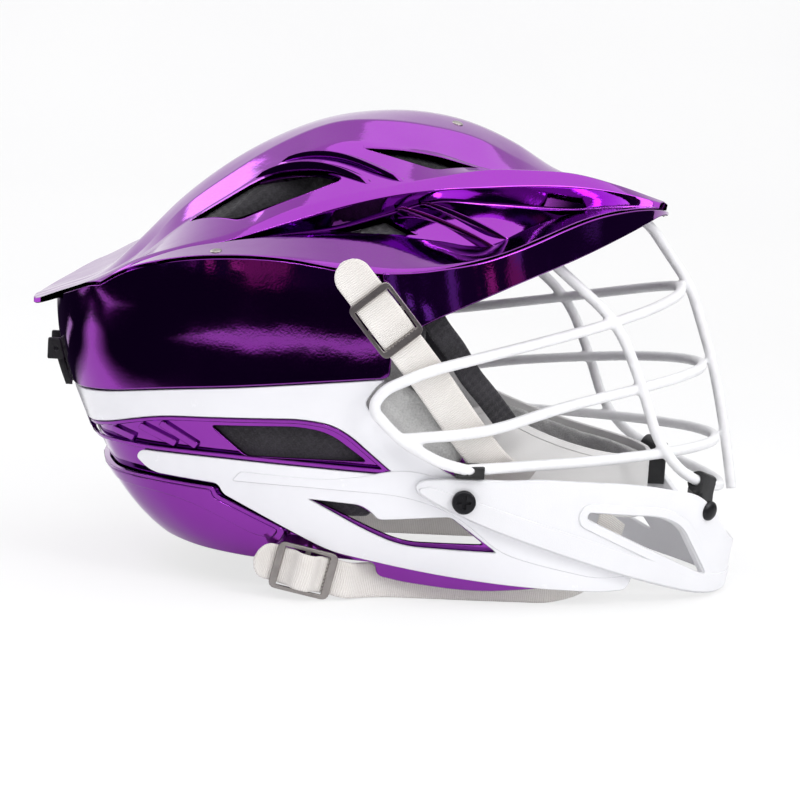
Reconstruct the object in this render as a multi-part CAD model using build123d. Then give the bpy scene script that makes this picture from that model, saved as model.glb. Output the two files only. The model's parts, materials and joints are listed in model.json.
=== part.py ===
from build123d import *
import math
import os

# Lacrosse helmet. Millimetres: +X is the front, +Y the wearer's left, +Z is up, and z = 0 is the surface it stands on.

# Overall sizes
half_length = 170.0
half_width = 104.5
crown_height = 214.0
overrun = 40.0

# Walls of the layered shell, and the clearance between layers
shell_wall = 3.0
panel_wall = 2.6
jaw_wall = 2.6
guard_wall = 3.2
tail_wall = 3.0
visor_wall = 3.0
trim_wall = 2.4
layer_gap = 0.5
tail_gap = 0.9
crown_proud = 0.8
visor_proud = 1.4
trim_recess = 0.4

# How far each layer's faces lie outside the reference hull
crown_out = crown_proud
crown_in = crown_out - shell_wall
visor_out = visor_proud
visor_in = visor_out - visor_wall
panel_out = 0.0
panel_in = panel_out - panel_wall
jaw_out = panel_in - layer_gap
jaw_in = jaw_out - jaw_wall
tail_in = jaw_out + tail_gap
tail_out = tail_in + tail_wall
guard_in = panel_out + layer_gap
guard_out = guard_in + guard_wall
pad_out = jaw_in - layer_gap

# Reference hull: height, rear, half width and front of each level, as shares of the overall sizes
level_shares = [
    (-0.08, -0.40, 0.74, 0.91),
    (0.03, -0.53, 0.80, 0.935),
    (0.11, -0.67, 0.86, 0.947),
    (0.22, -0.785, 0.92, 0.96),
    (0.34, -0.86, 0.965, 0.94),
    (0.46, -0.915, 0.99, 0.87),
    (0.58, -0.935, 1.00, 0.77),
    (0.70, -0.94, 0.995, 0.712),
    (0.82, -0.94, 0.98, 0.70),
    (1.00, -0.94, 0.95, 0.70),
]
# Plan curve of the hull from the rear to the front: share of its length, share of its half width
plan_shares = [
    (0.0, 0.0), (0.007, 0.28), (0.022, 0.47), (0.07, 0.66), (0.13, 0.77), (0.22, 0.87), (0.33, 0.94),
    (0.44, 0.985), (0.53, 1.0), (0.62, 0.975), (0.71, 0.90), (0.80, 0.78), (0.88, 0.64), (0.945, 0.47),
    (0.98, 0.30), (0.995, 0.15), (1.0, 0.0),
]

# Roof rails, each as (x, y, z) shares of half length, half width and crown height
roof_station_shares = [-1.05, -0.93, -0.82, -0.73, -0.62, -0.50, -0.36, -0.22, -0.10, 0.03, 0.16, 0.28, 0.40,
                       0.52, 0.66, 0.84]
ridge_top_shares = [
    (-1.05, 0, 0.54), (-0.90, 0, 0.585), (-0.80, 0, 0.622), (-0.70, 0, 0.71), (-0.57, 0, 0.822),
    (-0.44, 0, 0.893), (-0.31, 0, 0.953), (-0.18, 0, 0.986), (-0.04, 0, 1.0), (0.095, 0, 0.995),
    (0.235, 0, 0.963), (0.395, 0, 0.893), (0.48, 0, 0.872), (0.60, 0, 0.855), (0.70, 0, 0.836),
    (0.84, 0, 0.81),
]
ridge_crease_shares = [
    (-1.05, 0.12, 0.54), (-0.90, 0.14, 0.585), (-0.80, 0.15, 0.62), (-0.735, 0.155, 0.655),
    (-0.62, 0.17, 0.76), (-0.52, 0.18, 0.827), (-0.42, 0.19, 0.888), (-0.265, 0.21, 0.958),
    (-0.17, 0.22, 0.972), (-0.05, 0.23, 0.977), (0.05, 0.22, 0.967), (0.165, 0.20, 0.948),
    (0.24, 0.19, 0.925), (0.32, 0.17, 0.893), (0.40, 0.15, 0.872), (0.52, 0.12, 0.862),
    (0.70, 0.10, 0.834), (0.84, 0.10, 0.808),
]
ridge_foot_shares = [
    (-1.05, 0.22, 0.54), (-0.90, 0.24, 0.588), (-0.80, 0.25, 0.622), (-0.70, 0.265, 0.668),
    (-0.595, 0.29, 0.748), (-0.49, 0.32, 0.804), (-0.38, 0.34, 0.865), (-0.28, 0.355, 0.915),
    (-0.20, 0.365, 0.925), (-0.06, 0.385, 0.925), (0.07, 0.38, 0.911), (0.18, 0.36, 0.883),
    (0.30, 0.29, 0.872), (0.40, 0.22, 0.864), (0.52, 0.18, 0.857), (0.70, 0.15, 0.832), (0.84, 0.14, 0.806),
]
blade_top_shares = [
    (-1.05, 0.62, 0.555), (-0.90, 0.62, 0.60), (-0.80, 0.62, 0.634), (-0.72, 0.63, 0.672),
    (-0.635, 0.641, 0.696), (-0.55, 0.641, 0.715), (-0.47, 0.65, 0.736), (-0.40, 0.65, 0.764),
    (-0.33, 0.65, 0.79), (-0.20, 0.64, 0.822), (-0.07, 0.622, 0.848), (0.065, 0.584, 0.874),
    (0.16, 0.545, 0.888), (0.295, 0.49, 0.893), (0.41, 0.44, 0.890), (0.50, 0.40, 0.876),
    (0.60, 0.36, 0.855), (0.70, 0.33, 0.832), (0.84, 0.31, 0.804),
]
blade_lip_shares = [
    (-1.05, 0.66, 0.552), (-0.90, 0.66, 0.597), (-0.80, 0.66, 0.630), (-0.72, 0.66, 0.667),
    (-0.635, 0.665, 0.690), (-0.55, 0.672, 0.707), (-0.47, 0.685, 0.724), (-0.38, 0.69, 0.750),
    (-0.30, 0.69, 0.776), (-0.20, 0.685, 0.802), (-0.07, 0.665, 0.830), (0.03, 0.645, 0.842),
    (0.14, 0.60, 0.850), (0.25, 0.555, 0.858), (0.35, 0.51, 0.863), (0.47, 0.46, 0.861),
    (0.56, 0.42, 0.853), (0.70, 0.375, 0.829), (0.84, 0.355, 0.802),
]
channel_root_shares = [
    (-1.05, 0.68, 0.549), (-0.90, 0.68, 0.594), (-0.80, 0.68, 0.626), (-0.72, 0.675, 0.661),
    (-0.635, 0.67, 0.684), (-0.57, 0.655, 0.697), (-0.40, 0.625, 0.730), (-0.26, 0.60, 0.743),
    (-0.16, 0.584, 0.766), (-0.10, 0.574, 0.785), (-0.03, 0.565, 0.812), (0.06, 0.54, 0.820),
    (0.195, 0.505, 0.818), (0.375, 0.455, 0.813), (0.48, 0.435, 0.822), (0.60, 0.415, 0.833),
    (0.70, 0.40, 0.826), (0.84, 0.385, 0.80),
]
channel_lip_shares = [
    (-1.05, 0.72, 0.55), (-0.90, 0.72, 0.597), (-0.80, 0.72, 0.632), (-0.72, 0.72, 0.666),
    (-0.59, 0.715, 0.705), (-0.405, 0.73, 0.731), (-0.265, 0.746, 0.743), (-0.035, 0.727, 0.748),
    (0.06, 0.71, 0.738), (0.165, 0.67, 0.735), (0.235, 0.64, 0.748), (0.29, 0.61, 0.785),
    (0.36, 0.565, 0.806), (0.46, 0.51, 0.820), (0.60, 0.455, 0.834), (0.70, 0.435, 0.826), (0.84, 0.42, 0.80),
]
roof_edge_shares = [
    (-1.05, 0.86, 0.553), (-0.90, 0.82, 0.602), (-0.80, 0.82, 0.642), (-0.69, 0.83, 0.673),
    (-0.58, 0.88, 0.692), (-0.43, 0.93, 0.702), (-0.30, 0.955, 0.700), (-0.14, 0.985, 0.688),
    (-0.04, 0.995, 0.692), (0.12, 0.976, 0.715), (0.235, 0.92, 0.748), (0.355, 0.83, 0.79),
    (0.45, 0.737, 0.817), (0.56, 0.61, 0.831), (0.64, 0.55, 0.832), (0.72, 0.52, 0.820), (0.84, 0.50, 0.795),
]
roof_skirt_shares = [
    (-1.05, 1.10, 0.555), (-0.80, 1.10, 0.652), (-0.58, 1.10, 0.690), (-0.43, 1.10, 0.680),
    (-0.30, 1.10, 0.655), (-0.14, 1.12, 0.62), (0.12, 1.12, 0.655), (0.355, 1.05, 0.745),
    (0.56, 0.95, 0.790), (0.72, 0.85, 0.77), (0.84, 0.85, 0.745),
]
roof_floor_share = 0.30
# Sideways part of the roof's inset
rail_lean = 0.5


def rail(shares, x_share):
    """Point of a rail at a station, between the two nearest of its points."""
    for (x0, y0, z0), (x1, y1, z1) in zip(shares, shares[1:]):
        if x0 <= x_share <= x1:
            part_way = (x_share - x0) / (x1 - x0)
            return (y0 + part_way * (y1 - y0)) * half_width, (z0 + part_way * (z1 - z0)) * crown_height
    raise ValueError("station outside the rail")


def closed_face(points):
    return make_face(Polyline(*points, close=True))


def whole(right):
    """Right half and its mirror image as one solid."""
    return right + mirror(right, about=Plane.XZ)


def left_of(solid):
    return mirror(solid, about=Plane.XZ)


def roof_section(x_share, inset, drop):
    """Right half of the roof's section, with an inset for the inner side and a drop for a thin sheet."""
    outer_rails = [ridge_crease_shares, ridge_foot_shares, blade_top_shares, blade_lip_shares,
                   channel_root_shares, channel_lip_shares, roof_edge_shares, roof_skirt_shares]
    inner_rails = [ridge_crease_shares, ridge_foot_shares, channel_root_shares, channel_lip_shares,
                   roof_edge_shares, roof_skirt_shares]
    down = inset + drop
    x = x_share * half_length
    points = [Vector(x, 0, rail(ridge_top_shares, x_share)[1] - down)]
    for shares in inner_rails if inset else outer_rails:
        y, z = rail(shares, x_share)
        points.append(Vector(x, -(y - inset * rail_lean), z - down))
    floor = roof_floor_share * crown_height
    return closed_face(points + [Vector(x, points[-1].Y, floor), Vector(x, 0, floor)])


def roof(inset=0.0, drop=0.0):
    """Right half of the space under the roof rails."""
    return loft([roof_section(share, inset, drop) for share in roof_station_shares])


def plan_curve(shares, rear, front, width, height):
    """Right side of a plan curve at one height, from the rear to the front."""
    points = [Vector(rear + along * (front - rear), -across * width, height) for along, across in shares]
    return Spline(*points, tangents=[(0, -1, 0), (0, 1, 0)])


def plan_face(shares, rear, front, width, height):
    curve = plan_curve(shares, rear, front, width, height)
    return make_face([curve, Line(curve @ 1, curve @ 0)])


def hull(offset):
    """Right half of the egg-shaped body that every outer layer follows, moved outwards by an offset."""
    faces = []
    for z_share, rear_share, width_share, front_share in level_shares:
        rear = rear_share * half_length - offset
        front = front_share * half_length + offset
        faces.append(plan_face(plan_shares, rear, front, width_share * half_width + offset, z_share * crown_height))
    return loft(faces)


def layer(out, inner):
    """Right half of the wall between two offsets of the hull."""
    faces = []
    for z_share, rear_share, width_share, front_share in level_shares:
        curves = []
        for offset in (out, inner):
            rear = rear_share * half_length - offset
            front = front_share * half_length + offset
            width = width_share * half_width + offset
            curves.append(plan_curve(plan_shares, rear, front, width, z_share * crown_height))
        outside, inside = curves
        ends = [Line(outside @ 0, inside @ 0), Line(outside @ 1, inside @ 1)]
        faces.append(make_face([outside, inside] + ends))
    return loft(faces)


def side_points(shares):
    return [Vector(x * half_length, 0, z * crown_height) for x, z in shares]


def side_face(shares, corner=0.0):
    """Outline seen from the side, from (x, z) shares of half length and crown height."""
    face = closed_face(side_points(shares))
    return fillet(face.vertices(), corner) if corner else face


def prism(face, start=0.0, end=None):
    """Prism of a side outline over the right half, from one distance off the middle plane to another."""
    reach = half_width + overrun if end is None else end
    return extrude(Pos(0, -start, 0) * face, amount=reach - start, dir=(0, -1, 0))


def plan_prism(shares, bottom, top):
    """Prism of an outline seen from above, from (x, y) shares, over the right half."""
    points = [Vector(x * half_length, -y * half_width, bottom) for x, y in shares]
    return extrude(closed_face(points), amount=top - bottom, dir=(0, 0, 1))


# Crown shell: side outline of what is kept, from its rear edge round the face opening and over the top
crown_outline_shares = [
    (-1.15, 0.385), (-0.84, 0.393), (-0.65, 0.42), (-0.45, 0.438), (-0.26, 0.458), (-0.088, 0.475),
    (-0.088, 0.57), (-0.13, 0.684), (-0.04, 0.689), (0.12, 0.712), (0.235, 0.745), (0.355, 0.787), (0.45, 0.814),
    (0.56, 0.828), (0.64, 0.829), (0.72, 0.817), (0.90, 0.79), (0.90, 1.10), (-1.15, 1.10),
]
# Visor band: the crease above it and its lower edge
visor_outline_shares = [
    (-0.128, 0.682), (-0.04, 0.687), (0.12, 0.710), (0.235, 0.743), (0.355, 0.785), (0.45, 0.812), (0.56, 0.826),
    (0.64, 0.827), (0.72, 0.815), (0.80, 0.80), (0.80, 0.787), (0.66, 0.815), (0.60, 0.797), (0.50, 0.762),
    (0.38, 0.720), (0.25, 0.680), (0.12, 0.635), (0.02, 0.598), (-0.03, 0.575), (-0.084, 0.572),
]
rear_vent_shares = [(-0.60, 0.305), (-0.38, 0.365), (-0.21, 0.555), (-0.33, 0.59), (-0.47, 0.57)]
front_vent_shares = [(-0.16, 0.40), (0.07, 0.41), (0.19, 0.39), (0.12, 0.475), (0.03, 0.53), (-0.07, 0.455)]
low_vent_shares = [(-0.255, 0.748), (-0.105, 0.783), (-0.02, 0.752)]
brow_vent_shares = [(0.27, 0.822), (0.44, 0.822), (0.455, 0.812), (0.36, 0.800)]
vent_inner_share = 0.38
vent_outer_share = 0.80
crown_vent_floor_share = 0.62
vent_top_share = 1.1

# Spoiler lip round the back of the crown
spoiler_plan_shares = [
    (0.0, 0.0), (0.004, 0.12), (0.02, 0.27), (0.046, 0.41), (0.08, 0.56), (0.12, 0.69), (0.18, 0.81),
    (0.25, 0.875), (0.33, 0.925), (0.44, 0.97), (0.53, 0.98), (0.75, 0.85), (0.93, 0.50), (1.0, 0.0),
]
spoiler_rear_share = -1.0
spoiler_front_share = 0.70
spoiler_end_share = -0.30
spoiler_thick = 3.5

# Louvre fins beside the vents, each from its upper end to its lower end
fin_height = 3.2
fin_base = 7.0
fin_sink = 2.5
fin_rise_shares = [(0.0, 0.1), (0.35, 1.0), (0.7, 1.0), (1.0, 0.1)]
upper_fin_shares = [((-0.42, 0.345, 0.850), (-0.20, 0.60, 0.800)), ((-0.35, 0.37, 0.885), (-0.09, 0.60, 0.822))]
lower_fin_shares = [((-0.07, 0.60, 0.800), (0.19, 0.70, 0.725)), ((-0.01, 0.575, 0.812), (0.23, 0.655, 0.738))]


def share_point(point):
    x, y, z = point
    return Vector(x * half_length, -y * half_width, z * crown_height)


def fin(start_share, end_share):
    """Wedge with its steep face to the rear, sunk into the shell along its foot."""
    faces = []
    start, end = share_point(start_share), share_point(end_share)
    for along, rise in fin_rise_shares:
        place = start + (end - start) * along
        crest = place + Vector(0, 0, fin_height * rise)
        foot = place - Vector(0, 0, fin_sink)
        toe = foot + Vector(fin_base, 0, 0)
        faces.append(closed_face([crest, foot, toe]))
    return loft(faces, ruled=True)


def spoiler():
    """Thin sheet under the roof that stands out past the crown's back wall."""
    rear = spoiler_rear_share * half_length
    front = spoiler_front_share * half_length
    base = roof_floor_share * crown_height
    face = plan_face(spoiler_plan_shares, rear, front, half_width, base)
    sheet = extrude(face, amount=crown_height, dir=(0, 0, 1)) & roof()
    length = spoiler_end_share * half_length - rear + overrun
    keep = Pos(rear - overrun, 0, 0) * Box(length, 2 * half_width + overrun, 2 * crown_height + overrun,
                                           align=(Align.MIN, Align.CENTER, Align.CENTER))
    return (sheet & keep) - roof(drop=spoiler_thick)


def crown_shell():
    outline = prism(side_face(crown_outline_shares), start=-overrun)
    inner = vent_inner_share * half_width
    outer = vent_outer_share * half_width
    body = hull(crown_out) & roof()
    body = body + spoiler()
    for start, end in upper_fin_shares + lower_fin_shares:
        body = body + fin(start, end)
    body = body - (hull(crown_in) & roof(inset=shell_wall))
    body = body & outline
    body = body - vents()
    for shares in (low_vent_shares, brow_vent_shares):
        body = body - prism(side_face(shares), inner, outer)
    return whole(body)


def vents():
    """Prisms of the vents that open upwards on the right side."""
    floor = crown_vent_floor_share * crown_height
    top = vent_top_share * crown_height
    return plan_prism(rear_vent_shares, floor, top) + plan_prism(front_vent_shares, floor, top)


def visor():
    return whole(layer(visor_out, visor_in) & prism(side_face(visor_outline_shares)))


# White side panels and what shows through them
panel_outline_shares = [
    (-0.95, 0.384), (-0.84, 0.390), (-0.65, 0.417), (-0.45, 0.435), (-0.26, 0.455), (-0.095, 0.472),
    (-0.118, 0.458), (-0.147, 0.420), (-0.07, 0.355), (0.06, 0.294), (0.14, 0.266), (0.21, 0.215),
    (0.41, 0.145), (0.61, 0.070), (0.595, 0.035), (0.52, 0.033), (0.24, 0.051), (0.035, 0.070),
    (-0.20, 0.103), (-0.276, 0.131), (-0.482, 0.210), (-0.495, 0.231), (-0.665, 0.238), (-0.706, 0.266),
    (-0.694, 0.2835), (-0.506, 0.2855), (-0.053, 0.2765), (-0.176, 0.355), (-0.224, 0.374), (-0.30, 0.381),
    (-0.67, 0.362), (-0.818, 0.322), (-0.95, 0.295),
]
window_shares = [
    (-0.95, 0.285), (-0.71, 0.285), (-0.506, 0.287), (-0.053, 0.278), (-0.176, 0.355), (-0.224, 0.374),
    (-0.30, 0.381), (-0.67, 0.362), (-0.818, 0.322), (-0.95, 0.300),
]
pane_shares = [(-0.52, 0.350), (-0.30, 0.362), (-0.224, 0.353), (-0.10, 0.290), (-0.43, 0.294)]
jaw_vent_shares = [
    (-0.27, 0.215), (-0.135, 0.210), (-0.106, 0.196), (-0.088, 0.180), (0.094, 0.196), (0.224, 0.1215),
    (-0.024, 0.126), (-0.118, 0.154),
]
jaw_inner_vent_shares = [
    (-0.255, 0.213), (-0.137, 0.206), (-0.108, 0.193), (-0.090, 0.184), (0.094, 0.194), (0.190, 0.136),
    (-0.020, 0.134), (-0.112, 0.162),
]
jaw_outline_shares = [
    (-1.00, 0.51), (-0.10, 0.52), (-0.106, 0.481), (-0.135, 0.458), (-0.165, 0.420), (-0.088, 0.350),
    (0.047, 0.285), (0.130, 0.257), (0.21, 0.206), (0.353, 0.140), (0.365, 0.042), (0.17, 0.028),
    (-0.012, 0.042), (-0.075, 0.052), (-0.082, 0.082), (-0.21, 0.086), (-0.24, 0.079), (-0.353, 0.080),
    (-0.47, 0.085), (-0.52, 0.150), (-0.62, 0.200), (-1.00, 0.220),
]
window_rib_shares = [((-0.770, 0.316), (-0.712, 0.304)), ((-0.70, 0.334), (-0.605, 0.304)),
                     ((-0.648, 0.345), (-0.552, 0.304))]
panel_rear_gap = 24.0
window_rib_width = 3.0
window_rib_height = 1.6
trim_width = 1.8
side_fit = 0.2

# Sliding tail at the nape, its foam and the clips that hold it in the jaw shell
tail_outline_shares = [
    (-1.00, 0.227), (-0.665, 0.2285), (-0.505, 0.2235), (-0.495, 0.2065), (-0.315, 0.143), (-0.325, 0.118),
    (-0.38, 0.072), (-0.424, 0.073), (-0.553, 0.079), (-0.635, 0.093), (-1.00, 0.10),
]
tail_pad_shares = [(-1.00, 0.19), (-0.68, 0.178), (-0.55, 0.135), (-0.56, 0.092), (-1.00, 0.112)]
tail_pad_thick = 9.0
tail_pad_gap = 1.2
tail_travel = 10.0
tail_slope = 20.0
tongue_x_share = -0.36
tongue_z_share = 0.118
tongue_length = 8.0
tongue_height = 3.0
tongue_fit = 0.4
clip_plate_length = 13.0
clip_plate_height = 8.0
clip_plate_thick = 2.0
# Room that the clips need inside the narrowing shell
clip_plate_gap = 6.9

# Fit latch at the back of the crown
latch_half_width = 13.0
latch_thick = 3.0
latch_stand_off = 0.6
latch_bottom_share = 0.375
latch_pin_height_share = 0.452
latch_barrel_radius = 1.8
latch_pin_radius = 0.9
latch_pin_fit = 0.2
latch_ear_width = 3.0
latch_ear_gap = 0.4
latch_ear_drop = 3.0

# Chin guard
guard_outline_shares = [
    (-0.008, 0.262), (0.012, 0.274), (0.106, 0.282), (0.235, 0.279), (0.312, 0.283), (0.594, 0.269),
    (0.782, 0.239), (0.847, 0.197), (0.894, 0.145), (0.947, 0.108), (1.06, 0.098), (1.06, 0.002), (0.86, 0.002),
    (0.63, 0.056), (0.39, 0.1215), (0.17, 0.182), (0.035, 0.229), (0.0, 0.246),
]
guard_vent_shares = [(0.453, 0.2125), (0.665, 0.196), (0.73, 0.173), (0.83, 0.056), (0.45, 0.201)]
guard_screw_x_share = 0.118
guard_screw_z_share = 0.234
screw_head_radius = 5.1
screw_head_height = 2.6
screw_head_round = screw_head_height / 3
screw_shaft_radius = 2.5
screw_hole_fit = 0.2
screw_seat_lift = 1.2
screw_cross_width = 1.5
screw_cross_length = 6.0
screw_cross_depth = 1.3
nut_radius = 6.5
nut_thick = 2.0

# Face mask of welded, coated wire
wire_radius = 2.5
mask_half_width = 106.0
# Share of each run that its bend takes
bend_share = 0.45
bar_count_share = [0.0, 0.22, 0.42, 0.60, 0.78]
upper_bar_shares = (0.776, 0.0, 0.654, 0.500, 1.6)
middle_bar_shares = (0.853, 0.06, 0.486, 0.375, 2.2)
lower_bar_shares = (0.906, 0.14, 0.327, 0.300, 2.0)
middle_bar_bend_share = (0.16, 0.985, 0.375)
loop_shares = [(0.0, 1.07, 0.498), (-0.105, 1.07, 0.458), (-0.135, 1.065, 0.420), (-0.062, 1.05, 0.360),
               (0.045, 1.02, 0.315), (0.118, 0.99, 0.300)]
side_bar_shares = [(0.255, 0.545, 0.762), (0.335, 0.575, 0.712), (0.527, 0.592, 0.590), (0.606, 0.592, 0.455),
                   (0.655, 0.585, 0.350), (0.725, 0.560, 0.284), (0.805, 0.485, 0.252), (0.885, 0.290, 0.232)]
side_bar_front_share = (0.925, 0.0, 0.224)
centre_bar_shares = [(0.60, 0.0, 0.815), (0.67, 0.0, 0.785), (0.80, 0.0, 0.654), (0.837, 0.0, 0.580),
                     (0.882, 0.0, 0.486), (0.912, 0.0, 0.402), (0.935, 0.0, 0.327), (0.967, 0.0, 0.205)]

# Clips that hold the mask
clip_reach = 6.0
clip_x_share = 0.805
clip_z_share = 0.252
clip_radius = 5.2
clip_length = 11.0
clip_tab = (11.0, 11.0, 15.0)
clip_tab_z_share = 0.205
clip_screw_x_share = 0.818
clip_screw_z_share = 0.200
clip_screw_radius = 4.6
clip_screw_head = 2.0
clip_screw_shaft = 2.0
side_clip_size = (12.0, 10.0, 5.6)
side_clip_x_share = 0.128
top_clip_size = (16.0, 14.0, 16.0)

# Foam inside
head_centre_share = (-0.12, 0.0, 0.47)
head_half_length = 98.0
head_radius = 84.0
foam_gap = 0.9
foam_floor_share = 0.53
brow_share = 0.20
nape_share = -0.60
side_foam_share = 0.70
foam_front_share = 0.44
front_pad_half_width = 46.0
# Holes of the crown liner under the vents: rear, front, inner and outer side
liner_vent_shares = [(-0.56, -0.27, 0.37, 0.58), (-0.14, 0.16, 0.40, 0.50)]
jaw_pad_thick = 11.0
jaw_pad_shares = [(-0.56, 0.46), (-0.14, 0.47), (-0.17, 0.42), (-0.125, 0.385), (-0.10, 0.18), (-0.28, 0.17),
                  (-0.52, 0.26)]
ear_liner_thick = 6.0
ear_liner_shares = [(-0.13, 0.47), (-0.055, 0.468), (0.09, 0.40), (0.135, 0.345), (0.10, 0.290), (0.045, 0.290),
                    (-0.09, 0.357), (-0.116, 0.385), (-0.16, 0.42)]
ear_strip_shares = [(-0.05, 0.475), (0.02, 0.475), (0.145, 0.385), (0.175, 0.345), (0.145, 0.345), (0.095, 0.402)]

# Chin cup on an elliptical plan
cup_centre_share = 0.06
cup_length = 112.0
cup_half_width = 76.0
cup_wall = 2.5
cup_pad = 6.0
cup_fit = 0.5
cup_shares = [(0.12, 0.400), (0.19, 0.415), (0.36, 0.350), (0.56, 0.305), (0.75, 0.290), (0.75, 0.150), (0.58, 0.165),
              (0.36, 0.215), (0.19, 0.275), (0.11, 0.330)]
cup_pad_shares = [(0.17, 0.385), (0.35, 0.335), (0.56, 0.292), (0.74, 0.275), (0.74, 0.165), (0.58, 0.180),
                  (0.37, 0.230), (0.20, 0.285), (0.15, 0.330)]

# Chin straps, their sliders and snaps
strap_width = 16.0
strap_thick = 1.4
slider_length = 27.0
slider_width = 21.0
slider_thick = 1.6
slider_bar = 2.4
slider_fit = 0.5
weave_depth = 2.1
weave_reach = 20.0
snap_radius = 6.0
upper_snap_thick = 1.3
lower_snap_thick = 3.95
upper_slider_share = (-0.112, 1.0, 0.593)
upper_slider_stand_off = 5.9
upper_run = (0.65, 0.0, -0.76)
upper_tail = 30.0
upper_lead_shares = [(0.020, 0.985, 0.470), (0.075, 0.955, 0.414), (0.130, 0.928, 0.360), (0.190, 0.880, 0.306),
                     (0.245, 0.800, 0.272), (0.300, 0.690, 0.255)]
lower_slider_share = (-0.265, 1.0, 0.062)
lower_slider_side = 82.0
lower_run = (0.955, 0.0, -0.20)
lower_tail = 15.0
lower_lead_shares = [(-0.105, 0.722, 0.0405), (-0.050, 0.694, 0.0400), (0.02, 0.687, 0.0398), (0.15, 0.689, 0.0395),
                     (0.29, 0.687, 0.0395), (0.39, 0.675, 0.0410), (0.47, 0.640, 0.0600), (0.53, 0.580, 0.112),
                     (0.565, 0.512, 0.175)]

# Shell rivets
rivet_radius = 2.6
rivet_height = 0.8
rivet_shares = [(-0.53, 0.84, 0.705), (0.11, 0.10, 0.985)]


def skin_half_width(x, z, offset):
    """Half width of the hull at a place seen from the side, read from its tables."""
    z_share = z / crown_height
    for (z0, r0, w0, f0), (z1, r1, w1, f1) in zip(level_shares, level_shares[1:]):
        if z0 <= z_share <= z1:
            part_way = (z_share - z0) / (z1 - z0)
            rear = (r0 + part_way * (r1 - r0)) * half_length - offset
            width = (w0 + part_way * (w1 - w0)) * half_width + offset
            front = (f0 + part_way * (f1 - f0)) * half_length + offset
            along = (x - rear) / (front - rear)
            for (a0, b0), (a1, b1) in zip(plan_shares, plan_shares[1:]):
                if a0 <= along <= a1:
                    return (b0 + (along - a0) / (a1 - a0) * (b1 - b0)) * width
    raise ValueError("place off the hull")


def bar_face(start_share, end_share, width):
    """Straight bar of one width between two points of the side view."""
    start, end = side_points([start_share, end_share])
    across = (end - start).normalized().cross(Vector(0, 1, 0)) * (width / 2)
    return closed_face([start + across, end + across, end - across, start - across])


def window_trim():
    window = side_face(window_shares)
    ring = offset(window, amount=-side_fit) - offset(window, amount=-side_fit - trim_width)
    wall = layer(panel_out - trim_recess, panel_out - trim_recess - trim_wall + layer_gap)
    return wall & prism(ring, start=panel_rear_gap)


def side_panel():
    face = side_face(panel_outline_shares) - side_face(jaw_vent_shares) - screw_hole_face()
    return layer(panel_out, panel_in) & prism(face, start=panel_rear_gap)


def screw_place():
    return guard_screw_x_share * half_length, guard_screw_z_share * crown_height


def screw_hole_face():
    """Hole for the guard's screw, in the side view."""
    x, z = screw_place()
    return Pos(x, 0, z) * Rot(90, 0, 0) * Circle(screw_shaft_radius + screw_hole_fit)


def tongue_box(length, height, inner, outer):
    """Block through the jaw shell's wall at the tail's tongue, in line with the tail's travel."""
    x = tongue_x_share * half_length
    z = tongue_z_share * crown_height
    side = skin_half_width(x, z, 0)
    block = Box(length, outer - inner, height)
    return Pos(x, -(side + (inner + outer) / 2), z) * Rot(0, -tail_slope, 0) * block


def jaw_shell():
    face = side_face(jaw_outline_shares) - side_face(pane_shares) - side_face(jaw_inner_vent_shares)
    wall = layer(jaw_out, jaw_in) & prism(face - screw_hole_face())
    ribs = layer(jaw_out + window_rib_height, jaw_in + jaw_wall / 2)
    faces = [bar_face(start, end, window_rib_width) for start, end in window_rib_shares]
    wall = wall + (ribs & prism(faces[0] + faces[1] + faces[2], start=panel_rear_gap))
    slot = tongue_box(tongue_length + tail_travel + 2 * tongue_fit, tongue_height + 2 * tongue_fit,
                      jaw_in - overrun / 2, jaw_out + tail_wall)
    slope = math.radians(tail_slope)
    shift = tail_travel / 2
    slot = Pos(-shift * math.cos(slope), 0, -shift * math.sin(slope)) * slot
    return whole(wall - slot)


def tail():
    wall = layer(tail_out, tail_in) & prism(side_face(tail_outline_shares))
    tongue = tongue_box(tongue_length, tongue_height, jaw_in - clip_plate_gap - clip_plate_thick - layer_gap,
                        tail_in + tail_wall / 2)
    return whole(wall + tongue)


def tail_clips():
    outer = jaw_in - clip_plate_gap
    x, z = tongue_x_share * half_length, tongue_z_share * crown_height
    face = Pos(x, 0, z) * Rot(0, -tail_slope, 0) * Rot(90, 0, 0) * Rectangle(clip_plate_length, clip_plate_height)
    plate = layer(outer, outer - clip_plate_thick) & prism(face)
    hole = tongue_box(tongue_length + tongue_fit, tongue_height + tongue_fit, jaw_in - overrun / 2, jaw_in + tail_wall)
    right = plate - hole
    return [right, left_of(right)]


def tail_pad():
    outer = tail_in - tail_pad_gap
    return whole(layer(outer, outer - tail_pad_thick) & prism(side_face(tail_pad_shares)))


def latch_pin_place():
    """Rear-to-front and vertical place of the latch's pin."""
    z_share = latch_pin_height_share
    (z0, r0, w0, f0), (z1, r1, w1, f1) = [pair for pair in zip(level_shares, level_shares[1:])
                                          if pair[0][0] <= z_share <= pair[1][0]][0]
    rear = (r0 + (z_share - z0) / (z1 - z0) * (r1 - r0)) * half_length
    return rear - crown_out - latch_stand_off - latch_barrel_radius, z_share * crown_height


def rod_y(radius, length, x, z):
    return Pos(x, 0, z) * Rot(90, 0, 0) * Cylinder(radius, length)


def fit_latch():
    x, z = latch_pin_place()
    bottom = latch_bottom_share * crown_height
    inner = crown_out + latch_stand_off
    slab = Pos(x, 0, bottom) * Box(overrun, 2 * latch_half_width, z - bottom,
                                   align=(Align.CENTER, Align.CENTER, Align.MIN))
    wall = layer(inner + latch_thick, inner)
    plate = (wall & slab) + left_of(wall & slab)
    barrel = rod_y(latch_barrel_radius, 2 * latch_half_width, x, z)
    return plate + barrel - rod_y(latch_pin_radius + latch_pin_fit, half_width, x, z)


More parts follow.
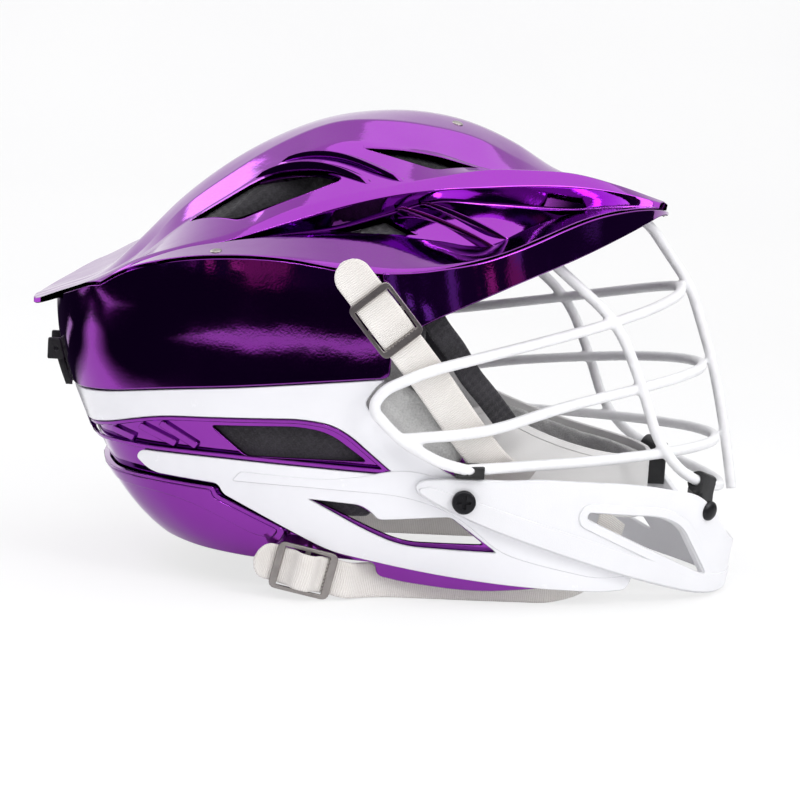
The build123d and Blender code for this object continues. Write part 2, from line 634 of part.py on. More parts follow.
def latch_pin():
    x, z = latch_pin_place()
    return rod_y(latch_pin_radius, 2 * (latch_half_width + latch_ear_gap + latch_ear_width), x, z)


def latch_ears():
    x, z = latch_pin_place()
    ears = []
    for side in (-1, 1):
        y = side * (latch_half_width + latch_ear_gap + latch_ear_width / 2)
        drop = latch_barrel_radius + latch_ear_drop
        block = Pos(x, y, z) * Box(2 * (latch_stand_off + latch_barrel_radius) + latch_thick, latch_ear_width, 2 * drop)
        ears.append(block)
    wall = hull(crown_out + trim_recess / 4)
    right = ears[0] - wall - rod_y(latch_pin_radius, half_width, x, z)
    keep = sorted(right.solids(), key=lambda solid: solid.center().X)[0]
    return [keep, left_of(keep)]


def chin_guard():
    face = side_face(guard_outline_shares) - side_face(guard_vent_shares) - screw_hole_face()
    wall = layer(guard_out, guard_in) & prism(face)
    hole = clip_screw_axis() * Cylinder(clip_screw_shaft + screw_hole_fit, 2 * clip_length)
    return whole(wall - hole)


def clip_screw_axis():
    """Frame on the chin guard's outer face with Z along the screw, pointing outwards."""
    x = clip_screw_x_share * half_length
    z = clip_screw_z_share * crown_height
    step = clip_length / 2
    ahead = Vector(x + step, -skin_half_width(x + step, z, guard_out), z)
    behind = Vector(x - step, -skin_half_width(x - step, z, guard_out), z)
    along = (ahead - behind).normalized()
    outward = along.cross(Vector(0, 0, 1))
    centre = Vector(x, -skin_half_width(x, z, guard_out), z)
    return Plane(origin=centre, x_dir=(0, 0, 1), z_dir=outward).location


def guard_screws():
    x, z = screw_place()
    seat = skin_half_width(x, z, guard_out) + screw_seat_lift
    inside = skin_half_width(x, z, jaw_in) - nut_thick - screw_seat_lift
    head = Cylinder(screw_head_radius, screw_head_height, align=(Align.CENTER, Align.CENTER, Align.MIN))
    head = fillet(head.edges().group_by(Axis.Z)[-1], screw_head_round)
    for turn in (0, 90):
        slot = Box(screw_cross_length, screw_cross_width, 2 * screw_cross_depth)
        head = head - Pos(0, 0, screw_head_height) * Rot(0, 0, turn) * slot
    shaft = Cylinder(screw_shaft_radius, seat - inside, align=(Align.CENTER, Align.CENTER, Align.MAX))
    right = Pos(x, -seat, z) * Rot(90, 0, 0) * (head + shaft)
    return [right, left_of(right)]


def guard_nuts():
    x, z = screw_place()
    inside = skin_half_width(x, z, jaw_in) - screw_seat_lift
    disc = Cylinder(nut_radius, nut_thick, align=(Align.CENTER, Align.CENTER, Align.MAX))
    disc = disc - Cylinder(screw_shaft_radius, overrun)
    right = Pos(x, -inside, z) * Rot(90, 0, 0) * disc
    return [right, left_of(right)]


def tube(points, radius):
    """Wire along straight runs joined by arcs as large as the runs allow."""
    runs = [(b - a).length for a, b in zip(points, points[1:])]
    radii = []
    for before, here, after, run_in, run_out in zip(points, points[1:], points[2:], runs, runs[1:]):
        turn = math.radians((here - before).get_angle(after - here))
        radii.append(bend_share * min(run_in, run_out) / math.tan(turn / 2))
    path = FilletPolyline(*points, radius=radii) if radii else Line(*points)
    start = Plane(origin=path @ 0, z_dir=path % 0)
    return sweep(start * Circle(radius), path=path)


def bar_points(bar_shares):
    """Right half of a cross bar, from the middle outwards, on its parabola."""
    centre_x, end_x, centre_z, end_z, power = bar_shares
    points = []
    for across in bar_count_share:
        x = (centre_x + (end_x - centre_x) * across ** 2) * half_length
        z = (centre_z + (end_z - centre_z) * across ** power) * crown_height
        points.append(Vector(x, -across * mask_half_width, z))
    return points


def both_sides(right):
    """Points from the right end over the middle to the left end; the first point is the middle one."""
    return list(reversed(right)) + [Vector(p.X, -p.Y, p.Z) for p in right[1:]]


def mask_frame():
    right = bar_points(upper_bar_shares) + [share_point(p) for p in loop_shares]
    return tube(both_sides(right), wire_radius)


def mask_lower_bar():
    return tube(both_sides(bar_points(lower_bar_shares) + [share_point(loop_shares[-1])]), wire_radius)


def mask_middle_bar():
    ends = [share_point(middle_bar_bend_share), share_point(loop_shares[3])]
    return tube(both_sides(bar_points(middle_bar_shares) + ends), wire_radius)


def mask_side_bars():
    right = [share_point(side_bar_front_share)] + [share_point(p) for p in reversed(side_bar_shares)]
    return tube(both_sides(right), wire_radius)


def mask_centre_bar():
    return tube([share_point(p) for p in centre_bar_shares], wire_radius)


def chin_clips():
    x = clip_x_share * half_length
    z = clip_z_share * crown_height
    long_x, long_y, long_z = clip_tab
    centre_y = skin_half_width(x, clip_tab_z_share * crown_height, guard_in) - long_y / 2 + clip_reach / 3
    tab = Pos(x, -centre_y, clip_tab_z_share * crown_height) * Box(long_x, long_y, long_z)
    tab = tab & hull(guard_in - layer_gap)
    wires = [share_point(p) for p in side_bar_shares[-3:]]
    along = (wires[2] - wires[0]).normalized()
    centre = share_point(side_bar_shares[-2])
    sleeve = Plane(origin=centre, z_dir=along).location * Cylinder(clip_radius, clip_length)
    right = tab + (sleeve - hull(guard_out) + (sleeve & hull(guard_in - layer_gap)))
    right = right - tube(wires, wire_radius + side_fit / 2)
    right = right - clip_screw_axis() * Cylinder(clip_screw_shaft, 2 * clip_length)
    right = sorted(right.solids(), key=lambda solid: solid.volume)[-1]
    return [right, left_of(right)]


def chin_clip_screws():
    head = Cylinder(clip_screw_radius, 2 * clip_screw_head)
    head = clip_screw_axis() * head - hull(guard_out + side_fit / 2)
    shaft = clip_screw_axis() * Cylinder(clip_screw_shaft, 2 * clip_reach)
    right = head + shaft
    return [right, left_of(right)]


def side_clips():
    x = side_clip_x_share * half_length
    y = skin_half_width(x, guard_screw_z_share * crown_height, guard_out)
    bottom = guard_outline_shares[2][1] * crown_height + side_fit
    block = Box(*side_clip_size, align=(Align.CENTER, Align.CENTER, Align.MIN))
    block = Pos(x, -y, bottom) * block
    wires = [share_point(p) for p in loop_shares[-3:]]
    right = block - tube(wires, wire_radius + side_fit / 2)
    wires = [bar_points(lower_bar_shares)[-1], wires[-1]]
    right = right - tube(wires, wire_radius + side_fit / 2)
    right = sorted(right.solids(), key=lambda solid: solid.volume)[-1]
    return [right, left_of(right)]


def top_clips():
    place = share_point(side_bar_shares[0])
    block = Pos(place) * Box(*top_clip_size)
    block = block & roof(inset=shell_wall + layer_gap)
    wires = [share_point(p) for p in side_bar_shares[:3]]
    block = block - tube(wires, wire_radius + side_fit / 2)
    right = sorted(block.solids(), key=lambda solid: solid.volume)[-1]
    return [right, left_of(right)]


def foam_parts():
    """Foam liner of the crown cut into its pads round the head's space."""
    body = hull(pad_out) & roof(inset=shell_wall + foam_gap)
    x, y, z = (share * size for share, size in zip(head_centre_share, (half_length, half_width, crown_height)))
    upper = Rectangle(2 * half_length, 2 * half_width, align=(Align.CENTER, Align.MIN))
    head = Pos(x, y, z) * revolve(Ellipse(head_half_length, head_radius) & upper, axis=Axis.X)
    floor = foam_floor_share * crown_height
    brow = brow_share * half_length
    nape = nape_share * half_length
    front = foam_front_share * half_length
    sides = side_foam_share * crown_height
    gap = foam_gap

    def piece(x0, x1, z0, z1, wide=half_width):
        block = Box(x1 - x0, 2 * wide, z1 - z0, align=(Align.MIN, Align.CENTER, Align.MIN))
        return (body & (Pos(x0, 0, z0) * block)) - head

    far = 2 * half_length
    high = 2 * crown_height
    liner = piece(nape, brow, sides + gap, high)
    for x0, x1, y0, y1 in liner_vent_shares:
        size = ((x1 - x0) * half_length, (y1 - y0) * half_width, crown_height)
        corner = Pos(x0 * half_length, -y1 * half_width, crown_vent_floor_share * crown_height)
        liner = liner - corner * Box(*size, align=(Align.MIN, Align.MIN, Align.MIN))
    return {
        "front_pad": whole(piece(brow + gap, front, sides + gap, high, wide=front_pad_half_width)),
        "rear_pad": whole(piece(-far, nape - gap, floor, high)),
        "crown_liner": whole(liner),
        "side_pad": piece(nape, 0, floor, sides),
    }


def inner_piece(thick, shares, start=0.0):
    return layer(pad_out, pad_out - thick) & prism(side_face(shares), start=start)


def cup_body(grow, height):
    rings = Ellipse(cup_length + grow, cup_half_width + grow)
    return Pos(cup_centre_share * half_length, 0, 0) * extrude(rings, amount=height, dir=(0, 0, 1))


def cup_piece(out, inner, shares):
    wall = cup_body(out, crown_height) - cup_body(inner, crown_height)
    face = side_face(shares)
    reach = half_width + overrun
    return wall & extrude(face, amount=reach, dir=(0, -1, 0), both=True)


def ribbon(points, normal):
    """Flat strap along the points, turned no more than its path turns it, from a normal at its start."""
    faces = []
    last = len(points) - 1
    for index, centre in enumerate(points):
        along = (points[min(index + 1, last)] - points[max(index - 1, 0)]).normalized()
        across = along.cross(normal).normalized()
        normal = across.cross(along).normalized()
        wide = across * (strap_width / 2)
        deep = normal * (strap_thick / 2)
        faces.append(closed_face([centre + wide + deep, centre - wide + deep, centre - wide - deep,
                                  centre + wide - deep]))
    solid = loft(faces, ruled=True)
    return solid if solid.volume > 0 else loft(faces[::-1], ruled=True)


def slider_frame(centre, run):
    """Plane of a slider: X along the strap, Z outwards."""
    return Plane(origin=centre, x_dir=run, z_dir=(0, -1, 0))


def slider(frame):
    window = (slider_length - 3 * slider_bar) / 2
    plate = Box(slider_length, slider_width, slider_thick)
    plate = fillet(plate.edges().filter_by(Axis.Z), slider_bar)
    for side in (-1, 1):
        hole = Box(window, strap_width + 2 * slider_fit, 2 * slider_thick)
        plate = plate - Pos(side * (window + slider_bar) / 2, 0, 0) * hole
    return frame.location * plate


def woven(frame, free_end):
    """Points of a strap through a slider: under its end bars and over its middle bar."""
    depth = weave_depth
    half = slider_length / 2
    steps = [(-free_end, -depth), (-half, -depth), (-slider_bar * 2, 0), (-slider_bar, depth),
             (slider_bar, depth), (slider_bar * 2, 0), (half, -depth), (weave_reach, -depth)]
    return [frame.from_local_coords(Vector(u, 0, n)) for u, n in steps]


def upper_frame():
    x, y, z = upper_slider_share
    place = Vector(x * half_length, 0, z * crown_height)
    side = skin_half_width(place.X, place.Z, crown_out) + upper_slider_stand_off
    return slider_frame(Vector(place.X, -side, place.Z), upper_run)


def lower_frame():
    x, y, z = lower_slider_share
    return slider_frame(Vector(x * half_length, -lower_slider_side, z * crown_height), lower_run)


def upper_strap():
    lead = [share_point(place) for place in upper_lead_shares]
    return ribbon(woven(upper_frame(), upper_tail) + lead, upper_frame().z_dir)


def lower_strap():
    lead = [share_point(place) for place in lower_lead_shares]
    return ribbon(woven(lower_frame(), lower_tail) + lead, lower_frame().z_dir)


def snap(frame, radius, thick, depth):
    return frame.location * Pos(0, 0, -depth) * Cylinder(radius, thick, align=(Align.CENTER, Align.CENTER, Align.MAX))


def rivets():
    solids = []
    for share in rivet_shares:
        place = share_point(share)
        button = Pos(place) * Cylinder(rivet_radius, 2 * rivet_height)
        solids += [button, left_of(button)]
    return solids


def main():
    os.makedirs("parts", exist_ok=True)
    foam = foam_parts()
    cup = cup_piece(0, -cup_wall, cup_shares)
    under = weave_depth + strap_thick / 2 + side_fit
    upper, lower = upper_frame(), lower_frame()
    snaps = [snap(upper, snap_radius, upper_snap_thick, under), snap(lower, snap_radius, lower_snap_thick, under)]
    pairs = {
        "side_panel": side_panel(),
        "window_trim": window_trim(),
        "side_pad": foam["side_pad"],
        "jaw_pad": inner_piece(jaw_pad_thick, jaw_pad_shares),
        "ear_liner": inner_piece(ear_liner_thick, ear_liner_shares),
        "ear_strip": inner_piece(ear_liner_thick, ear_strip_shares),
        "upper_strap": upper_strap(),
        "lower_strap": lower_strap(),
        "upper_slider": slider(upper),
        "lower_slider": slider(lower),
    }
    parts = {
        "crown_shell": crown_shell(),
        "visor": visor(),
        "jaw_shell": jaw_shell(),
        "tail": tail(),
        "tail_clips": tail_clips(),
        "tail_pad": tail_pad(),
        "fit_latch": fit_latch(),
        "latch_pin": latch_pin(),
        "latch_ears": latch_ears(),
        "chin_guard": chin_guard(),
        "chin_guard_screws": guard_screws(),
        "chin_guard_nuts": guard_nuts(),
        "mask_frame": mask_frame(),
        "mask_middle_bar": mask_middle_bar(),
        "mask_lower_bar": mask_lower_bar(),
        "mask_side_bars": mask_side_bars(),
        "mask_centre_bar": mask_centre_bar(),
        "chin_clips": chin_clips(),
        "chin_clip_screws": chin_clip_screws(),
        "side_clips": side_clips(),
        "top_clips": top_clips(),
        "crown_liner": foam["crown_liner"],
        "front_pad": foam["front_pad"],
        "rear_pad": foam["rear_pad"],
        "chin_cup": cup,
        "cup_liner": cup_piece(-cup_wall - cup_fit, -cup_wall - cup_fit - cup_pad, cup_pad_shares),
        "strap_snaps": snaps + [left_of(solid) for solid in snaps],
        "shell_rivets": rivets(),
    }
    for name, right in pairs.items():
        parts[name + "_right"] = right
        parts[name + "_left"] = left_of(right)
    for name, part in parts.items():
        shape = Compound(part) if isinstance(part, list) else part
        export_step(shape, os.path.join("parts", name + ".step"))


if __name__ == "__main__":
    main()
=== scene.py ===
import bpy
import bmesh
import json
import math
import numpy as np
from mathutils import Matrix, Vector
from mathutils.geometry import delaunay_2d_cdt


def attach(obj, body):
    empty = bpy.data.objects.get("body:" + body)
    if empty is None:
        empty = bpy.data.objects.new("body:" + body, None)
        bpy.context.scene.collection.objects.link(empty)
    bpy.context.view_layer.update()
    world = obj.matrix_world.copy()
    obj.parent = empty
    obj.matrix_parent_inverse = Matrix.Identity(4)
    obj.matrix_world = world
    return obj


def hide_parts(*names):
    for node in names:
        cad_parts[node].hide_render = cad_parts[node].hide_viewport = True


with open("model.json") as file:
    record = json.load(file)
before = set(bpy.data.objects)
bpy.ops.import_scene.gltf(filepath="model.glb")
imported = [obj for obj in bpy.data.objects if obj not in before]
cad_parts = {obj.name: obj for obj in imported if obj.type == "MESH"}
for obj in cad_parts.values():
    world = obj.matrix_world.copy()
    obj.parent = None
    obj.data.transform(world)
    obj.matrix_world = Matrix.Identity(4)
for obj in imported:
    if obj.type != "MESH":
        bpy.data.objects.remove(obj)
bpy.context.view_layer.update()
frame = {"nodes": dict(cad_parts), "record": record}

# Lengths in this script are millimetres, as in the part's own drawing, until a mesh is made. Patterns in the
# materials, the floor's shading and the lights are in metres.
MM = 0.001
half_length = 170.0
half_width = 104.5
crown_height = 214.0


# Finishes

class Value:
    """A shader socket that can be used in an expression."""

    def __init__(self, finish, socket):
        self.finish = finish
        self.socket = socket

    def math(self, operation, first, second=0.0):
        return self.finish.node("Math", {"operation": operation}, {0: first, 1: second})

    def __add__(self, other):
        return self.math("ADD", self, other)

    def __radd__(self, other):
        return self.math("ADD", other, self)

    def __sub__(self, other):
        return self.math("SUBTRACT", self, other)

    def __rsub__(self, other):
        return self.math("SUBTRACT", other, self)

    def __mul__(self, other):
        return self.math("MULTIPLY", self, other)

    def __rmul__(self, other):
        return self.math("MULTIPLY", other, self)

    def sine(self):
        return self.math("SINE", self)

    def size(self):
        return self.math("ABSOLUTE", self)

    def at_most(self, limit):
        return self.math("MINIMUM", self, limit)

    def step(self, low, high):
        """Smooth step from 0 at low to 1 at high."""
        return self.finish.node("MapRange", {"interpolation_type": "SMOOTHSTEP", "clamp": True},
                                {0: self, 1: low, 2: high, 3: 0.0, 4: 1.0})


class Finish:
    """One material or the world, and the one way its nodes are added."""

    def __init__(self, name, world=None):
        self.owner = world or bpy.data.materials.new(name)
        self.owner.use_nodes = True
        self.tree = self.owner.node_tree
        self.tree.nodes.clear()

    def node(self, kind, settings=None, sockets=None, out=0):
        made = self.tree.nodes.new("ShaderNode" + kind)
        for key, value in (settings or {}).items():
            if key == "stops":
                self.set_stops(made, value)
            else:
                setattr(made, key, value)
        for key, value in (sockets or {}).items():
            if isinstance(value, Value):
                self.tree.links.new(value.socket, made.inputs[key])
            elif value is not None:
                made.inputs[key].default_value = value
        return Value(self, made.outputs[out]) if made.outputs else made

    def set_stops(self, ramp, stops):
        elements = ramp.color_ramp.elements
        while len(elements) < len(stops):
            elements.new(1.0)
        for element, (place, colour) in zip(elements, stops):
            element.position = place
            element.color = colour + (1.0,)

    def places(self, stretch=(1.0, 1.0, 1.0)):
        """Object coordinates in metres, stretched along an axis for brushed or drawn finishes."""
        here = self.node("TexCoord", out="Object")
        return self.node("Mapping", None, {"Vector": here, "Scale": stretch})

    def noise(self, scale, detail=2.0, where=None, rough=0.5):
        sockets = {"Vector": where or self.places(), "Scale": scale, "Detail": detail, "Roughness": rough}
        return self.node("TexNoise", None, sockets, out="Fac")

    def parts_of(self, vector):
        """The three coordinates of a vector."""
        apart = self.node("SeparateXYZ", None, {"Vector": vector}).socket.node.outputs
        return [Value(self, apart[axis]) for axis in ("X", "Y", "Z")]

    def rays(self, *kinds):
        """Which kinds of ray meet the surface, 1 or 0 each."""
        path = self.node("LightPath", out="Is Camera Ray").socket.node.outputs
        return [Value(self, path["Is " + kind + " Ray"]) for kind in kinds]

    def mix(self, share, first, second):
        """Colour between two colours."""
        first, second = [c if isinstance(c, Value) else tuple(c) + (1.0,) for c in (first, second)]
        return self.node("Mix", {"data_type": "RGBA"}, {0: share, 6: first, 7: second}, out=2)

    def bump(self, height, depth, strength=1.0):
        return self.node("Bump", None, {"Height": height, "Distance": depth, "Strength": strength})

    def done(self, **sockets):
        """Close the material with one surface shader."""
        named = {key.replace("_", " "): value for key, value in sockets.items()}
        colour = named.get("Base Color")
        if colour is not None and not isinstance(colour, Value):
            named["Base Color"] = tuple(colour) + (1.0,)
        surface = self.node("BsdfPrincipled", None, named)
        self.node("OutputMaterial", None, {"Surface": surface})
        return self.owner


def violet_chrome():
    """Vacuum metal under a violet clear coat: nearly a mirror, a little uneven in depth of colour."""
    finish = Finish("chrome_violet")
    cloud = finish.noise(9.0, 3.0)
    grain = finish.noise(900.0, 1.0)
    smear = finish.noise(38.0, 4.0)
    colour = finish.mix(cloud.step(0.35, 0.7), (0.235, 0.028, 0.335), (0.275, 0.038, 0.39))
    rough = 0.05 + smear.step(0.45, 0.8) * 0.05 + grain * 0.02
    waves = finish.noise(55.0, 1.5)
    bump = finish.bump(waves + grain * 0.06, 0.0002)
    return finish.done(Base_Color=colour, Metallic=1.0, Roughness=rough, Normal=bump, Coat_Weight=0.25,
                       Coat_Roughness=0.04)


def white_plastic(name, colour, rough, texture, coat=0.0):
    """Moulded white plastic, a little greyer and duller in patches, with the mould's fine texture."""
    finish = Finish(name)
    patches = finish.noise(24.0, 5.0)
    fine = finish.noise(2400.0, 2.0)
    handled = finish.noise(120.0, 6.0, rough=0.7)
    duller = tuple(share * 0.965 for share in colour)
    tone = finish.mix(patches.step(0.4, 0.75), colour, duller)
    gloss = rough + handled.step(0.55, 0.8) * 0.12 + fine * 0.05
    bump = finish.bump(fine * texture + finish.noise(70.0, 1.0) * 0.5, 0.0001)
    return finish.done(Base_Color=tone, Roughness=gloss, Normal=bump, Coat_Weight=coat, Coat_Roughness=0.12)


def dipped_wire():
    """Thick white coating on wire, slightly lumpy where it ran."""
    finish = Finish("wire_white")
    runs = finish.noise(160.0, 3.0)
    fine = finish.noise(1500.0, 2.0)
    colour = finish.mix(runs.step(0.4, 0.8), (0.84, 0.84, 0.85), (0.79, 0.79, 0.80))
    bump = finish.bump(runs + fine * 0.15, 0.00035)
    return finish.done(Base_Color=colour, Roughness=0.34 + runs * 0.15, Normal=bump, Coat_Weight=0.15)


def black_plastic():
    """Matt black moulding, greyer where it has been handled."""
    finish = Finish("black_plastic")
    fine = finish.noise(2200.0, 2.0)
    worn = finish.noise(90.0, 5.0)
    colour = finish.mix(worn.step(0.5, 0.8), (0.012, 0.012, 0.013), (0.03, 0.03, 0.032))
    return finish.done(Base_Color=colour, Roughness=0.36 + worn * 0.2,
                       Normal=finish.bump(fine, 0.00012))


def metal(name, colour, rough, brushing):
    """Plated or blackened metal with the fine lines of its making."""
    finish = Finish(name)
    lines = finish.noise(700.0, 2.0, finish.places((1.0, 1.0, brushing)))
    spots = finish.noise(140.0, 4.0)
    tone = finish.mix(spots.step(0.45, 0.8), colour, tuple(share * 0.7 for share in colour))
    return finish.done(Base_Color=tone, Metallic=1.0, Roughness=rough + lines * 0.14 + spots * 0.06,
                       Normal=finish.bump(lines, 0.00006))


def padded_cloth(name, colour, lighter, grid):
    """Brushed knit over foam: a fine rib with a fuzz over it."""
    finish = Finish(name)
    across, _, along = finish.parts_of(finish.places())
    ribs = (across * grid).sine() * (along * grid).sine()
    fuzz = finish.noise(1300.0, 4.0)
    worn = finish.noise(45.0, 4.0)
    tone = finish.mix((fuzz * 0.6 + worn * 0.6).step(0.4, 0.8), colour, lighter)
    bump = finish.bump(ribs * 0.5 + fuzz, 0.0004)
    return finish.done(Base_Color=tone, Roughness=0.86 + fuzz * 0.1, Normal=bump, Sheen_Weight=0.35)


def webbing():
    """Flat woven strap: herringbone over its width, a tight selvedge at each edge, a little soiled."""
    finish = Finish("webbing")
    along, across, _ = finish.parts_of(finish.node("UVMap", {"uv_map": "weave"}))
    half = (across * 62.8).sine()
    slant = (along * 6800.0 + half.size() * 5.0 + across * 90.0).sine()
    threads = (across * 240.0).sine()
    fuzz = finish.noise(2600.0, 3.0)
    weave = slant * 0.6 + threads * 0.4
    soil = finish.noise(55.0, 5.0)
    tone = finish.mix((weave * 0.25 + fuzz * 0.5).step(0.0, 0.6), (0.70, 0.665, 0.625), (0.84, 0.815, 0.78))
    tone = finish.mix(soil.step(0.5, 0.85) * 0.25, tone, (0.66, 0.61, 0.55))
    bump = finish.bump(weave + fuzz * 0.5, 0.00012)
    return finish.done(Base_Color=tone, Roughness=0.78 + fuzz * 0.15, Normal=bump, Sheen_Weight=0.2)


finishes = {
    "chrome_violet": violet_chrome(),
    "white_gloss": white_plastic("white_gloss", (0.84, 0.84, 0.865), 0.2, 0.15, coat=0.35),
    "white_satin": white_plastic("white_satin", (0.80, 0.80, 0.82), 0.42, 0.8),
    "cup_white": white_plastic("cup_white", (0.80, 0.79, 0.775), 0.38, 0.5),
    "wire_white": dipped_wire(),
    "black_plastic": black_plastic(),
    "black_metal": metal("black_metal", (0.035, 0.035, 0.038), 0.32, 1.0),
    "steel_dark": metal("steel_dark", (0.36, 0.335, 0.32), 0.24, 8.0),
    "foam_black": padded_cloth("foam_black", (0.010, 0.009, 0.011), (0.036, 0.033, 0.04), 1400.0),
    "foam_grey": padded_cloth("foam_grey", (0.42, 0.42, 0.41), (0.60, 0.60, 0.585), 900.0),
    "webbing": webbing(),
}

slot_of = {item["node"]: item["material_slot"] for item in frame["record"]["subparts"]}
for node_name, node_object in frame["nodes"].items():
    node_object.data.materials.clear()
    node_object.data.materials.append(finishes[slot_of[node_name]])


# Making of pieces

foam_softness, foam_fill = 0.6, 0.7
mould_softness = 0.5
sharp_edge = 32.0


def add_piece(name, points, faces, slot, body="helmet", replaced=(), normals=None, weave=None):
    """One mesh piece in its place, with its finish."""
    mesh = bpy.data.meshes.new(name)
    mesh.from_pydata([tuple(c * MM for c in point) for point in points], [], [list(face) for face in faces])
    mesh.polygons.foreach_set("use_smooth", [True] * len(mesh.polygons))
    if weave is not None:
        layer = mesh.uv_layers.new(name="weave")
        for loop in mesh.loops:
            layer.data[loop.index].uv = weave[loop.vertex_index]
    if normals is not None:
        mesh.normals_split_custom_set_from_vertices([tuple(n) for n in normals])
    settle(bpy.data.objects.new(name, mesh), slot, body, replaced)


def settle(piece, slot, body, replaced):
    """Put a piece in the scene, with its finish, its body and the nodes that it stands for."""
    if not piece.users_collection:
        bpy.context.scene.collection.objects.link(piece)
    piece.data.materials.clear()
    piece.data.materials.append(finishes[slot])
    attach(piece, body)
    if replaced:
        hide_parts(*replaced)


def body_of_node(node):
    for body, members in frame["record"]["behaviour"]["bodies"].items():
        if node in members:
            return body


def copy_of(node, name):
    mesh = frame["nodes"][node].data.copy()
    piece = bpy.data.objects.new(name, mesh)
    bpy.context.scene.collection.objects.link(piece)
    return piece


def applied(piece):
    """Keep the piece's mesh as its modifiers leave it."""
    bpy.context.view_layer.update()
    seen = piece.evaluated_get(bpy.context.evaluated_depsgraph_get())
    mesh = bpy.data.meshes.new_from_object(seen)
    old = piece.data
    piece.modifiers.clear()
    piece.data = mesh
    bpy.data.meshes.remove(old)
    return piece


def softened(piece, voxel, smoothing, factor):
    """Remesh a piece in even steps and smooth its edges."""
    remesh = piece.modifiers.new("remesh", "REMESH")
    remesh.mode = "VOXEL"
    remesh.voxel_size = voxel * MM
    remesh.use_smooth_shade = True
    smooth = piece.modifiers.new("smooth", "SMOOTH")
    smooth.factor = factor
    smooth.iterations = smoothing
    return applied(piece)


def foam_pad(node, voxel, smoothing):
    """Foam pad with soft, rolled edges in the place of its solid."""
    piece = softened(copy_of(node, node + "_foam"), voxel, smoothing, foam_softness)
    settle(piece, slot_of[node], body_of_node(node), (node,))


def moulded(nodes, name, voxel, smoothing=5):
    """Solids run together with soft edges."""
    piece = copy_of(nodes[0], name)
    solids = bmesh.new()
    for node in nodes:
        solids.from_mesh(frame["nodes"][node].data)
    solids.to_mesh(piece.data)
    solids.free()
    softened(piece, voxel, smoothing, mould_softness)
    settle(piece, slot_of[nodes[0]], body_of_node(nodes[0]), nodes)


def eased(node, width, segments=2):
    """Rigid small part with its edges eased."""
    piece = copy_of(node, node + "_eased")
    mesh = bmesh.new()
    mesh.from_mesh(piece.data)
    bmesh.ops.remove_doubles(mesh, verts=mesh.verts, dist=0.00001)
    bmesh.ops.dissolve_limit(mesh, angle_limit=math.radians(1.0), verts=mesh.verts, edges=mesh.edges)
    mesh.to_mesh(piece.data)
    mesh.free()
    bevel = piece.modifiers.new("bevel", "BEVEL")
    bevel.width = width * MM
    bevel.segments = segments
    bevel.limit_method = "ANGLE"
    bevel.angle_limit = math.radians(sharp_edge)
    bevel.harden_normals = True
    piece.data.polygons.foreach_set("use_smooth", [True] * len(piece.data.polygons))
    applied(piece)
    settle(piece, slot_of[node], body_of_node(node), (node,))


for foam in ("crown_liner", "front_pad", "rear_pad", "side_pad_right", "side_pad_left", "tail_pad"):
    foam_pad(foam, 2.5, 10)
for foam in ("jaw_pad_right", "jaw_pad_left", "ear_liner_right", "ear_liner_left", "cup_liner",
             "ear_strip_right", "ear_strip_left"):
    foam_pad(foam, 1.6, 8)


# Smooth curves through the drawing's tables

def through(knots, values, start=None, end=None):
    """Smooth function through a table, level with its chords, held at its ends."""
    knots, values = np.array(knots, float), np.array(values, float)
    steps = np.diff(values) / np.diff(knots)
    weights = np.diff(knots)
    slopes = np.empty_like(values)
    slopes[1:-1] = (steps[:-1] * weights[1:] + steps[1:] * weights[:-1]) / (weights[1:] + weights[:-1])
    slopes[0] = steps[0] if start is None else start
    slopes[-1] = steps[-1] if end is None else end

    def value(at):
        at = np.clip(at, knots[0], knots[-1])
        index = np.clip(np.searchsorted(knots, at, side="right") - 1, 0, len(knots) - 2)
        span = knots[index + 1] - knots[index]
        s = (at - knots[index]) / span
        return (values[index] * (1 + 2 * s) * (1 - s) ** 2 + slopes[index] * span * s * (1 - s) ** 2
                + values[index + 1] * s * s * (3 - 2 * s) + slopes[index + 1] * span * s * s * (s - 1))
    return value


level_shares = [
    (-0.08, -0.40, 0.74, 0.91), (0.03, -0.53, 0.80, 0.935), (0.11, -0.67, 0.86, 0.947),
    (0.22, -0.785, 0.92, 0.96), (0.34, -0.86, 0.965, 0.94), (0.46, -0.915, 0.99, 0.87),
    (0.58, -0.935, 1.00, 0.77), (0.70, -0.94, 0.995, 0.712), (0.82, -0.94, 0.98, 0.70),
    (1.00, -0.94, 0.95, 0.70),
]
plan_shares = [
    (0.0, 0.0), (0.007, 0.28), (0.022, 0.47), (0.07, 0.66), (0.13, 0.77), (0.22, 0.87), (0.33, 0.94),
    (0.44, 0.985), (0.53, 1.0), (0.62, 0.975), (0.71, 0.90), (0.80, 0.78), (0.88, 0.64), (0.945, 0.47),
    (0.98, 0.30), (0.995, 0.15), (1.0, 0.0),
]
plan_length = 330.0
plan_ratio = 2.8

heights = [level[0] * crown_height for level in level_shares]
rear_of = through(heights, [level[1] * half_length for level in level_shares])
width_of = through(heights, [level[2] * half_width for level in level_shares])
front_of = through(heights, [level[3] * half_length for level in level_shares])


class Plan:
    """Plan curve from the rear to the front, by the share of the way along it."""

    def __init__(self, shares, ratio):
        points = np.array(shares, float)
        chords = np.hypot(np.diff(points[:, 0]) * ratio, np.diff(points[:, 1]))
        way = np.concatenate([[0.0], np.cumsum(chords)])
        way /= way[-1]
        total = chords.sum()
        self.along = through(way, points[:, 0], 0.0, 0.0)
        self.across = through(way, points[:, 1], total, -total)
        self.ways = np.linspace(0.0, 1.0, 1601)
        self.table = np.maximum.accumulate(self.along(self.ways))
        self.widths = self.across(self.ways)

    def way(self, along):
        return np.interp(along, self.table, self.ways)

    def width(self, along):
        """Half width at a share of the length, 0 beyond the ends."""
        return np.where((along < 0) | (along > 1), 0.0, self.across(self.way(np.clip(along, 0, 1))))


plan = Plan(plan_shares, plan_ratio)


